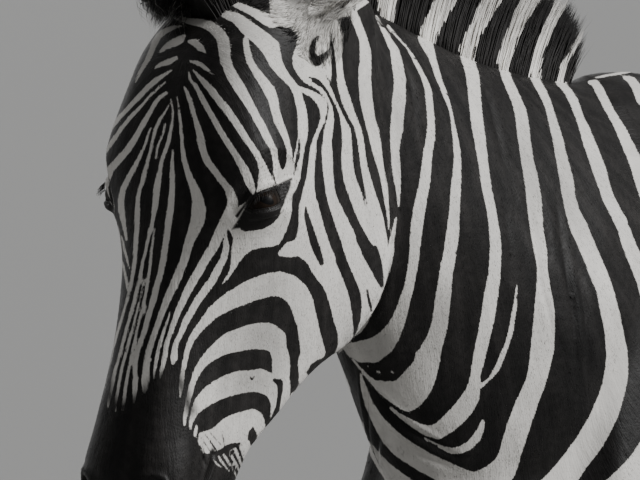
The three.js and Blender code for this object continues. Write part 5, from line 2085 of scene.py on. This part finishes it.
def hair_piece(name, lines, radii, marks, tones, finish=None, flat=LOCK_FLAT, facing=None):
    """Joined locks: each follows its own line of points, round or flat, and ends in a point.

    lines: (count, steps, 3). radii: (count, steps) half widths. flat: how thin, as a share of the width.
    facing: which way each lock's flat face looks.
    """
    count, steps, _ = lines.shape
    tangent = unit(lines[:, -1] - lines[:, 0])
    if facing is None:
        facing = np.cross(tangent, [0, 0, 1.0]) + np.cross(tangent, [0.3, 1.0, 0.2]) * 0.3
    up = unit(facing - (facing * tangent).sum(1)[:, None] * tangent)
    side = np.cross(tangent, up)
    rings = []
    for step in range(steps - 1):
        half = radii[:, step][:, None]
        for turn in LOCK_TURNS:
            rings.append(lines[:, step] + side * half * math.cos(turn) + up * half * flat * math.sin(turn))
    rings.append(lines[:, -1])
    each = len(rings)
    points = np.stack(rings, 1).reshape(-1, 3)
    top = 3 * (steps - 2)
    pattern = [(0, 2, 1), *tube_faces(steps - 1, 3)]
    pattern += [(top + corner, top + (corner + 1) % 3, each - 1) for corner in range(3)]
    faces = (np.arange(count)[:, None, None] * each + np.array(pattern)[None]).reshape(-1, 3)
    mesh = make_mesh(name, points, faces)
    owner = np.repeat(np.arange(count), each)

    def to_points(values):
        """One value to each lock, or one to each of its rings, given to its points."""
        if values.ndim == 1:
            return values[owner]
        return np.hstack([np.repeat(values[:, :-1], 3, 1), values[:, -1:]]).ravel()

    add_value(mesh, "mark", to_points(marks))
    add_value(mesh, "tone", to_points(tones))
    across = np.tile(np.append(np.tile([0.0, -0.5, 0.5], steps - 1), 0.0), count)
    along = np.tile(np.append(np.repeat(np.arange(steps - 1) / (steps - 1), 3), 1.0), count)
    spots = spread_map(lines[:, 0])[owner] + np.column_stack([across, along - 0.5]) * MAP_PATCH
    add_map(mesh, spots[faces.ravel()])
    mesh.materials.append(finish or mane_hair)
    piece = place(name, mesh)
    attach(piece, "root")
    return piece


def lock_widths(span, count, taper):
    """Half widths for locks whose width is random, and follows a taper from root to tip."""
    return rng.uniform(*span, count)[:, None] * MM * np.array(taper)


# ---- Mane ----

MANE_AT = [22, 70, 150, 235, 320, 405, 480, 540, 590, 622]  # ahead of the withers, mm
MANE_ROOT = [1262, 1270, 1284, 1302, 1326, 1354, 1376, 1386, 1374, 1352]
MANE_BACK = [40, 74, 82, 78, 68, 57, 38, 10, -34, -58]  # how far back the tips lean
MANE_RISE = [34, 76, 94, 102, 106, 110, 112, 110, 94, 46]
MANE_HALF = [10, 16, 18, 19, 19, 19, 20, 22, 28, 26]
MANE_LOCKS = 6400  # on each side
MANE_STEPS = 5
MANE_TAPER = [1.0, 1.0, 0.9, 0.6, 0.0]
MANE_WISPS = 0.07  # the share of them that strays behind the rest
MANE_SUNK = 9.0  # how deep the roots start under the crest, mm
MANE_NOISE = 0.6
MANE_SPAN = (44, 618)
MANE_FEATHER = (-9, 8)  # how far the roots stray up and down
MANE_LENGTH = (0.74, 1.0)  # of the rise
MANE_LEAN = (4, 3.6)  # mean and spread of how far a lock leans back on its own
MANE_STRAY = (6, 32)
MANE_SPLAY = 2.4
MANE_WIDTH = (0.6, 1.15)

mane_hair = hair_paint("mane_hair", (0.68, 0.66, 0.625), (0.0125, 0.0115, 0.011), 0.5)


def mane_shape(ahead):
    """The mane's half width, the heights of its root, its lean and its rise at places along the neck."""
    return [np.interp(ahead, MANE_AT, row) for row in (MANE_HALF, MANE_ROOT, MANE_BACK, MANE_RISE)]


def mane_locks(side, name):
    """The upright hair of one side of the mane, each lock striped where it crosses a stripe."""
    ahead = rng.uniform(*MANE_SPAN, MANE_LOCKS)
    feather = rng.uniform(*MANE_FEATHER, MANE_LOCKS)
    across = side * rng.uniform(0, 1, MANE_LOCKS)
    half, root, back, rise = mane_shape(ahead)
    length = rng.uniform(*MANE_LENGTH, MANE_LOCKS) - 0.1 * across**2
    length *= 1 + 0.035 * np.sin(ahead / 9.0) * np.sin(ahead / 23.0 + 1)
    stray = rng.uniform(0, 1, MANE_LOCKS) < MANE_WISPS
    lean = rng.normal(*MANE_LEAN, MANE_LOCKS) + stray * rng.uniform(*MANE_STRAY, MANE_LOCKS)
    splay = rng.normal(0, MANE_SPLAY, MANE_LOCKS)
    lines = np.empty((MANE_LOCKS, MANE_STEPS, 3))
    for step, t in enumerate(np.linspace(0, 1, MANE_STEPS)):
        reach = ahead - (back * length + lean) * (0.55 * t + 0.45 * t * t)
        aside = across * half * 0.92 * (1 - 0.5 * t) + splay * t * t
        sunk = (feather - 0.35 * half * across**2) * (1 - t)
        up = root - MANE_SUNK * (1 - t) + sunk + (rise + 4) * length * t
        lines[:, step] = spine_point(reach * MM, aside * MM, up * MM)
    width = lock_widths(MANE_WIDTH, MANE_LOCKS, MANE_TAPER)
    width[stray] *= 0.5
    marks = stroke_distance(picture(lines.reshape(-1, 3)), MANE_WHITES)
    marks = marks.reshape(-1, MANE_STEPS) + rng.normal(0, MANE_NOISE, MANE_LOCKS)[:, None]
    tones = rng.uniform(0.2, 1.0, MANE_LOCKS)[:, None] ** 0.8 + np.linspace(1.0, -0.5, MANE_STEPS)
    mane = hair_piece(name, lines, width, marks, tones)
    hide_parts("mane")


mane_locks(1, "mane_locks_left")
mane_locks(-1, "mane_locks_right")

CORE_SPAN = (48, 616)
CORE_STATIONS = 150
CORE_POINTS = 26
CORE_TALL = 0.74  # of the mane's height
CORE_WIDE = 0.62
CORE_SUNK = 6
CORE_TONE = 0.4


def mane_core():
    """The close underhair inside the mane: a blade that shows between the locks."""
    turn = np.linspace(-0.5, 1.5, CORE_POINTS, endpoint=False) * math.pi
    rise_share = (np.sin(turn) + 1) / 2
    tall = CORE_TALL * rise_share
    rows = []
    for ahead in np.linspace(*CORE_SPAN, CORE_STATIONS):
        half, root, back, rise = mane_shape(ahead)
        side = np.cos(turn) * half * CORE_WIDE * (1 - 0.45 * rise_share)
        rows.append(spine_point((ahead - back * tall) * MM, side * MM, (root - CORE_SUNK + rise * tall) * MM))
    points = np.vstack(rows)
    last = (CORE_STATIONS - 1) * CORE_POINTS
    faces = tube_faces(CORE_STATIONS, CORE_POINTS)
    for k in range(1, CORE_POINTS - 1):
        faces += [(0, k + 1, k), (last, last + k, last + k + 1)]
    faces = np.array(faces)
    mesh = make_mesh("mane_core", points, faces)
    add_map(mesh, spread_map(points)[faces.ravel()])
    add_value(mesh, "mark", stroke_distance(picture(points), MANE_WHITES))
    add_value(mesh, "tone", np.full(len(points), CORE_TONE))
    mesh.materials.append(mane_hair)
    mesh.shade_smooth()
    piece = place("mane_core", mesh)
    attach(piece, "root")


mane_core()

# ---- Forelock, ear hair, tail tuft and lashes ----

WHITE_LOCK = -3.0  # marks for locks that are one colour throughout
BLACK_LOCK = 3.0


def bent_lines(roots, first, last, length, steps, sway):
    """Lines that start off along `first` and turn to end up along `last`."""
    count = len(roots)
    lines = np.empty((count, steps, 3))
    lines[:, 0] = roots
    shake = rng.normal(0, 1, (count, 3)) * sway
    for step in range(1, steps):
        t = (step - 0.5) / (steps - 1)
        heading = unit(first * (1 - t) + last * t + shake * t)
        lines[:, step] = lines[:, step - 1] + heading * (length / (steps - 1))[:, None]
    return lines


FORELOCK = 1700
FORELOCK_STEPS = 7
FORELOCK_TAPER = [1, 1, 1, 0.9, 0.75, 0.5, 0]
FORELOCK_ROOTS = [(-24, 8), (-16, 16)]  # down and out, mm
FORELOCK_CRESTS = [(2, 32), (-52, -2)]
FORELOCK_MOST = (50, 56, 42)  # how far the roots, crests and ends may rise above the skin, mm
FORELOCK_WIDTH = (0.45, 0.85)
WISPS = 90  # the loose hairs among them that reach on over the forehead
FOREHEAD_AT = [-30, 20, 70, 120]  # down the face
FOREHEAD_FRONT = [-54, 12, 42, 50]
FOREHEAD_ROUND = (10, 55)  # how far back its sides fall, and how far out, mm
FORELOCK_EDGE = 132  # how far forward the forelock's outline lies at the poll
FORELOCK_FALL = 0.363  # how much less that is each mm down the face
FORELOCK_LEAN = 1.289  # and each mm to the right


def forelock_point(down, out, share, most):
    """A place above the forehead, down, out and forward: share 0 at the skin, 1 at the hair's outline."""
    fall, wide = FOREHEAD_ROUND
    skin_front = np.interp(down, FOREHEAD_AT, FOREHEAD_FRONT) - fall * (out / wide) ** 2
    edge = np.minimum(FORELOCK_EDGE - FORELOCK_FALL * down + FORELOCK_LEAN * out, skin_front + most)
    return np.stack([down, out, skin_front + 1 + share * np.maximum(edge - skin_front, 2)], -1)


def scattered(spans):
    """Random numbers for the forelock's hairs, one row to each span."""
    return [rng.uniform(*span, FORELOCK) for span in spans]


def forelock():
    """Locks that rise from the poll, fall over to the right and end above the forehead."""
    share = rng.uniform(0.05, 1, FORELOCK) ** 0.7
    loose = np.arange(FORELOCK) < WISPS
    root_most, crest_most, end_most = FORELOCK_MOST
    first = forelock_point(*scattered(FORELOCK_ROOTS), 0 * share, root_most)
    crest = forelock_point(*scattered(FORELOCK_CRESTS), share, crest_most)
    end_down = rng.uniform(30, 58, FORELOCK) + loose * rng.uniform(4, 26, FORELOCK)
    end_out = np.where(loose, *scattered([(-60, 0), (-60, -8)]))
    end_share = share * rng.uniform(0.35, 0.9, FORELOCK) * np.where(loose, 0.2, 1)
    end = forelock_point(end_down, end_out, end_share, end_most)
    bend = 2 * crest - (first + end) / 2
    t = np.linspace(0, 1, FORELOCK_STEPS)[None, :, None]
    lines = first[:, None] * (1 - t) ** 2 + bend[:, None] * 2 * t * (1 - t) + end[:, None] * t * t
    skin_front = forelock_point(lines[:, :, 0], lines[:, :, 1], 0, 0)[:, :, 2]
    lines[:, :, 2] = np.maximum(lines[:, :, 2], skin_front)
    lines[:, 1:] += rng.normal(0, 0.8, (FORELOCK, FORELOCK_STEPS - 1, 3))
    lines = HEAD_AT + lines @ HEAD_AXES * MM
    width = lock_widths(FORELOCK_WIDTH, FORELOCK, FORELOCK_TAPER)
    width[loose] *= 0.5
    tones = rng.uniform(0.2, 0.9, FORELOCK)
    white = rng.uniform(0, 1, FORELOCK) < np.where(loose, 0.5, 0.05)
    hair_piece("forelock", lines, width, np.where(white, WHITE_LOCK, BLACK_LOCK), tones)


forelock()

EAR_HAIRS = 1300  # in each ear
EAR_HAIR_STEPS = 4
EAR_HAIR_TAPER = [1, 0.9, 0.6, 0]
EAR_HAIR_SUNK = 2.4
EAR_HAIR_LENGTH = (16, 38)
EAR_HAIR_WIDTH = (0.28, 0.55)
EAR_TIP_FROM = 0.7  # most hairs are black beyond this share of the ear's length


def ear_hair():
    """Pale hairs that grow from the ear's inner edges across its opening."""
    lines, widths, marks = [], [], []
    for side in (1, -1):
        _, up, facing, across = ear_frame(side)
        t = rng.uniform(0.04, 0.86, EAR_HAIRS)
        share = np.where(rng.uniform(0, 1, EAR_HAIRS) < 0.5, 1, -1)
        wrap = np.radians(np.interp(t, EAR_AT, EAR_WRAP))
        angle = share * wrap * rng.uniform(0.55, 0.97, EAR_HAIRS)
        roots = ear_point(side, t, angle, EAR_BED + EAR_WALL - EAR_HAIR_SUNK)
        inward = -np.sign(angle)[:, None] * across
        first = facing[None] * 0.5 + inward * 0.7 + up[None] * 0.35
        last = facing[None] * 0.75 + up[None] * 0.9 + inward * 0.15
        length = rng.uniform(*EAR_HAIR_LENGTH, EAR_HAIRS) * (1 - 0.45 * t) * MM
        lines.append(bent_lines(roots, first, last, length, EAR_HAIR_STEPS, 0.25))
        widths.append(lock_widths(EAR_HAIR_WIDTH, EAR_HAIRS, EAR_HAIR_TAPER))
        black = rng.uniform(0, 1, EAR_HAIRS) < 0.14 + 0.6 * (t > EAR_TIP_FROM)
        marks.append(np.where(black, BLACK_LOCK, WHITE_LOCK))
    tones = rng.uniform(0.3, 0.95, 2 * EAR_HAIRS)
    hair_piece("ear_hair", np.vstack(lines), np.vstack(widths), np.hstack(marks), tones)


ear_hair()

TAIL_LOCKS = 2600
TAIL_STEPS = 5
TAIL_TAPER = [1, 1, 0.85, 0.6, 0]
# The tail's end: places by minus their height in mm, and what is found there.
TAIL_MIDDLE = ([-880, -800, -700], [1024, 1022, 1019])
TAIL_ROOT_RADIUS = ([-880, -800, -730], [12, 10, 4])
TAIL_TIP_RADIUS = ([-700, -600, -470], [32, 28, 8])
TAIL_TIP_BACK = 1018
TAIL_WIDTH = (0.9, 1.7)
TAIL_TOP = 880  # the highest root, mm
TAIL_END = 474
TAIL_BULGE = 13


def tail_tuft():
    """Long black locks from the lower half of the tail, with some white ones at their top."""
    t = rng.uniform(0, 1, TAIL_LOCKS) ** 1.4
    angle = rng.uniform(0, 2 * math.pi, TAIL_LOCKS)
    root_height = TAIL_TOP - 150 * t
    back = np.interp(-root_height, *TAIL_MIDDLE)
    radius = np.interp(-root_height, *TAIL_ROOT_RADIUS) * rng.uniform(0.6, 1, TAIL_LOCKS)
    end_height = np.maximum(TAIL_END + rng.uniform(0, 1, TAIL_LOCKS) ** 2 * 190, root_height - 330)
    spread = np.interp(-end_height, *TAIL_TIP_RADIUS) * rng.uniform(0.3, 1, TAIL_LOCKS)
    lines = np.empty((TAIL_LOCKS, TAIL_STEPS, 3))
    for step, s in enumerate(np.linspace(0, 1, TAIL_STEPS)):
        bulge = TAIL_BULGE * np.sin(math.pi * s) * rng.uniform(0.6, 1, TAIL_LOCKS)
        wide = radius * (1 - s) + spread * s + bulge
        along = back * (1 - s) + TAIL_TIP_BACK * s + CENTRING / MM + wide * np.sin(angle)
        height = root_height * (1 - s) + end_height * s
        lines[:, step] = np.column_stack([wide * np.cos(angle), along, height]) * MM
    width = lock_widths(TAIL_WIDTH, TAIL_LOCKS, TAIL_TAPER)
    white = (rng.uniform(0, 1, TAIL_LOCKS) < 0.3) & (t < 0.22)
    tones = rng.uniform(0.2, 0.95, TAIL_LOCKS)
    tuft = hair_piece("tail_tuft_locks", lines, width, np.where(white, WHITE_LOCK, BLACK_LOCK), tones)
    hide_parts("tail_tuft")


tail_tuft()

LASHES = 70  # on each eye
LASH_STEPS = 5
LASH_TAPER = [1, 0.9, 0.8, 0.5, 0]
LASH_HALF = 0.2
LASH_TONE = 0.5
LASH_LENGTH = (7, 12)
LASH_OUT = 3.4  # how far outside the ball the lashes start, mm
LASH_FIRST = np.array([0.55, 0.75, 0.25])  # down, out, forward
LASH_LAST = np.array([1.0, 0.12, 0.10])


def lashes():
    """Lashes along the upper lids, which bend down over the eyes."""
    edge = head_frame(seen_on_ball(rounded(LASH_LINE, 5), EYE_RADIUS + LASH_OUT))
    lines = []
    for side in (1, -1):
        at = np.sort(rng.uniform(0, len(edge) - 1.001, LASHES))
        step = at.astype(int)
        local = edge[step] + (edge[step + 1] - edge[step]) * (at - step)[:, None]
        axes = np.array([HEAD_DOWN, HEAD_LEFT * side, HEAD_FRONT])
        roots = HEAD_AT + local @ axes * MM
        first, last = [np.tile(way @ axes, (LASHES, 1)) for way in (LASH_FIRST, LASH_LAST)]
        length = rng.uniform(*LASH_LENGTH, LASHES) * MM
        lines.append(bent_lines(roots, first, last, length, LASH_STEPS, 0.18))
    count = 2 * LASHES
    widths = np.full((count, 1), LASH_HALF) * MM * np.array(LASH_TAPER)
    marks = np.full(count, BLACK_LOCK)
    hair_piece("eyelashes", np.vstack(lines), widths, marks, np.full(count, LASH_TONE), flat=1.0)


lashes()

# ---- Coat tufts ----

corners = triangles_of(mesh)
corner_points = skin_points[corners]
first_edge = corner_points[:, 1] - corner_points[:, 0]
second_edge = corner_points[:, 2] - corner_points[:, 0]
areas = np.linalg.norm(np.cross(first_edge, second_edge), axis=1) / 2
middles = corner_points.mean(1)
down, out, front = head_frame(middles).T
ahead, lateral, _ = spine_frame(middles)
is_left = lateral > 0
is_fore = middles[:, 1] < 0.2
on_ears = on_ear(middles)
on_head = in_head(middles) & (front + 0.2 * down > -140) & ~on_ears & (down > -50)
on_leg = (middles[:, 2] < 0.70) & ~on_head
on_neck = (ahead > -0.12) & ~on_head & ~on_ears & ~on_leg & (middles[:, 2] > 0.8)
on_trunk = ~(on_head | on_leg | on_neck | on_ears)
EAR_FOOT = 61  # how far from the ear's root its foot's longer hair grows, mm
ear_foot = np.linalg.norm(np.column_stack([down, np.abs(out), front]) - EAR_ROOT, axis=1) < EAR_FOOT
ear_foot &= in_head(middles)
HORN_TOP = 0.075  # no tufts below this height
tuft_share = np.clip(1 - 1.25 * skin_bare[corners].mean(1), 0, 1) * (middles[:, 2] >= HORN_TOP)

TUFT_KINDS = [
    # name, where, count, length, half width, lift, all in mm
    ("face_left", on_head & is_left, 34000, 4.2, 0.36, 0.16),
    ("face_right", on_head & ~is_left, 26000, 4.2, 0.38, 0.16),
    ("ears", on_ears, 14000, 5.5, 0.5, 0.6),
    ("ear_feet", ear_foot, 9000, 14.0, 0.36, 3.2),
    ("neck_left", on_neck & is_left, 43000, 5.4, 0.38, 0.2),
    ("neck_right", on_neck & ~is_left, 34000, 5.6, 0.42, 0.24),
    ("trunk_left", on_trunk & is_left, 24000, 10.0, 0.75, 0.6),
    ("trunk_right", on_trunk & ~is_left, 24000, 10.0, 0.75, 0.6),
    ("forelegs", on_leg & is_fore, 15500, 8.0, 0.65, 0.7),
    ("hind_legs", on_leg & ~is_fore, 17500, 8.0, 0.65, 0.7),
]

TUFT_FLAT = 0.38
TUFT_SUNK = 0.3  # how deep a tuft starts in the skin, mm
TUFT_SWAY = 0.13
TUFT_NOISE = 0.5  # of the mark, mm
TUFT_SEEN = 0.35  # the share of its length at which a tuft takes its mark
TONE_MIDDLE = 0.55
TONE_NOISE = 0.12
TONE_WANDER = 0.2
# how much painted shade and dusky hair darken a tuft's tone
TONE_DUSK_AND_SHADE = 1.7
# how much painted shade darkens a black tuft's tone
TONE_BLACK_SHADE = 1.1
DUSK_AND_SHADE_PUSH = 9  # how far a tuft's mark moves towards black where it's dusky or under painted shade

coat_hair = hair_paint("coat_tufts", WHITE_HAIR, BLACK_HAIR, 0.6)


def coat_tufts(kind, where, count, reach, half, lift):
    """One piece of the coat: flat tufts that lie along the skin's flow and carry its markings."""
    total = np.cumsum(areas * where * tuft_share)
    picks = corners[np.searchsorted(total, rng.uniform(0, total[-1], count))]
    a, b = rng.uniform(0, 1, (2, count))
    flip = a + b > 1
    a, b = np.where(flip, 1 - a, a), np.where(flip, 1 - b, b)
    share = np.column_stack([1 - a - b, a, b])
    roots, normals, flow = [
        (values[picks] * share[:, :, None]).sum(1) for values in (skin_points, skin_normals, skin_flow)
    ]
    normals = unit(normals)
    flow = flow + rng.normal(0, TUFT_SWAY, (count, 3))
    flow = unit(flow - (flow * normals).sum(1)[:, None] * normals)
    bare = (skin_bare[picks] * share).sum(1)
    length = reach * rng.uniform(0.7, 1.25, count) * (1 - 0.5 * bare) * MM
    marks = mark_at(roots + flow * (length * TUFT_SEEN)[:, None], normals)
    # painted shade on the whites, with the dusky nose-stripe ends; where it is strong, tufts turn black
    dusk_and_shade = dusk_and_shade_at(roots)
    marks = marks + rng.normal(0, TUFT_NOISE, count) + DUSK_AND_SHADE_PUSH * (rng.uniform(0.5, 1, count) < dusk_and_shade)
    tips = roots + flow * length[:, None] + normals * (lift * rng.uniform(0.3, 1.2, count) * MM)[:, None]
    lines = np.stack([roots - normals * TUFT_SUNK * MM, tips], 1)
    width = (half * rng.uniform(0.7, 1.2, count) * MM)[:, None] * np.array([1.0, 0.0])
    tones = TONE_MIDDLE + rng.normal(0, TONE_NOISE, count) + TONE_WANDER * lattice_noise(roots, 0.03, 31)
    # painted shade darkens the tones: on the whites together with the dusky nose-stripe ends, on the black by
    # itself
    tones = tones - TONE_DUSK_AND_SHADE * dusk_and_shade - TONE_BLACK_SHADE * black_shade_at(roots) * (marks > 0)
    tones = np.clip(tones, -0.4, 1)
    hair_piece("coat_" + kind, lines, width, marks, tones, coat_hair, TUFT_FLAT, normals)


for kind in TUFT_KINDS:
    coat_tufts(*kind)

# ---- Floor and light ----

FLOOR_SIZE = 400.0
FLOOR_GREY = (0.26, 0.26, 0.256, 1)
STUDIO_GREY = (0.9, 0.9, 0.9, 1)
STUDIO_STRENGTH = 0.23

floor_corners = np.array([[-1, -1, 0], [1, -1, 0], [1, 1, 0], [-1, 1, 0]]) * FLOOR_SIZE / 2
floor = place("floor", make_mesh("floor", floor_corners, np.array([[0, 1, 2, 3]])))
floor_paint = bpy.data.materials.new("pale_floor")
floor_paint.use_nodes = True
floor_shader = floor_paint.node_tree.nodes["Principled BSDF"]
floor_shader.inputs["Base Color"].default_value = FLOOR_GREY
floor_shader.inputs["Roughness"].default_value = 0.9
floor.data.materials.append(floor_paint)

world = bpy.data.worlds.new("studio")
world.use_nodes = True
world.node_tree.nodes["Background"].inputs["Color"].default_value = STUDIO_GREY
world.node_tree.nodes["Background"].inputs["Strength"].default_value = STUDIO_STRENGTH
bpy.context.scene.world = world


def sun(name, strength, softness, toward):
    """A soft distant light that shines from the direction `toward`."""
    lamp = bpy.data.lights.new(name, "SUN")
    lamp.energy = strength
    lamp.angle = math.radians(softness)
    piece = bpy.data.objects.new(name, lamp)
    piece.rotation_euler = Vector(toward).to_track_quat("Z", "Y").to_euler()
    bpy.context.scene.collection.objects.link(piece)


sun("key_light", 4.4, 20, (0.80, 0.26, 0.54))
sun("far_fill", 1.0, 60, (-0.80, 0.55, 0.30))

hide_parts(*FLESH, *EARS)
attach(skin, "root")
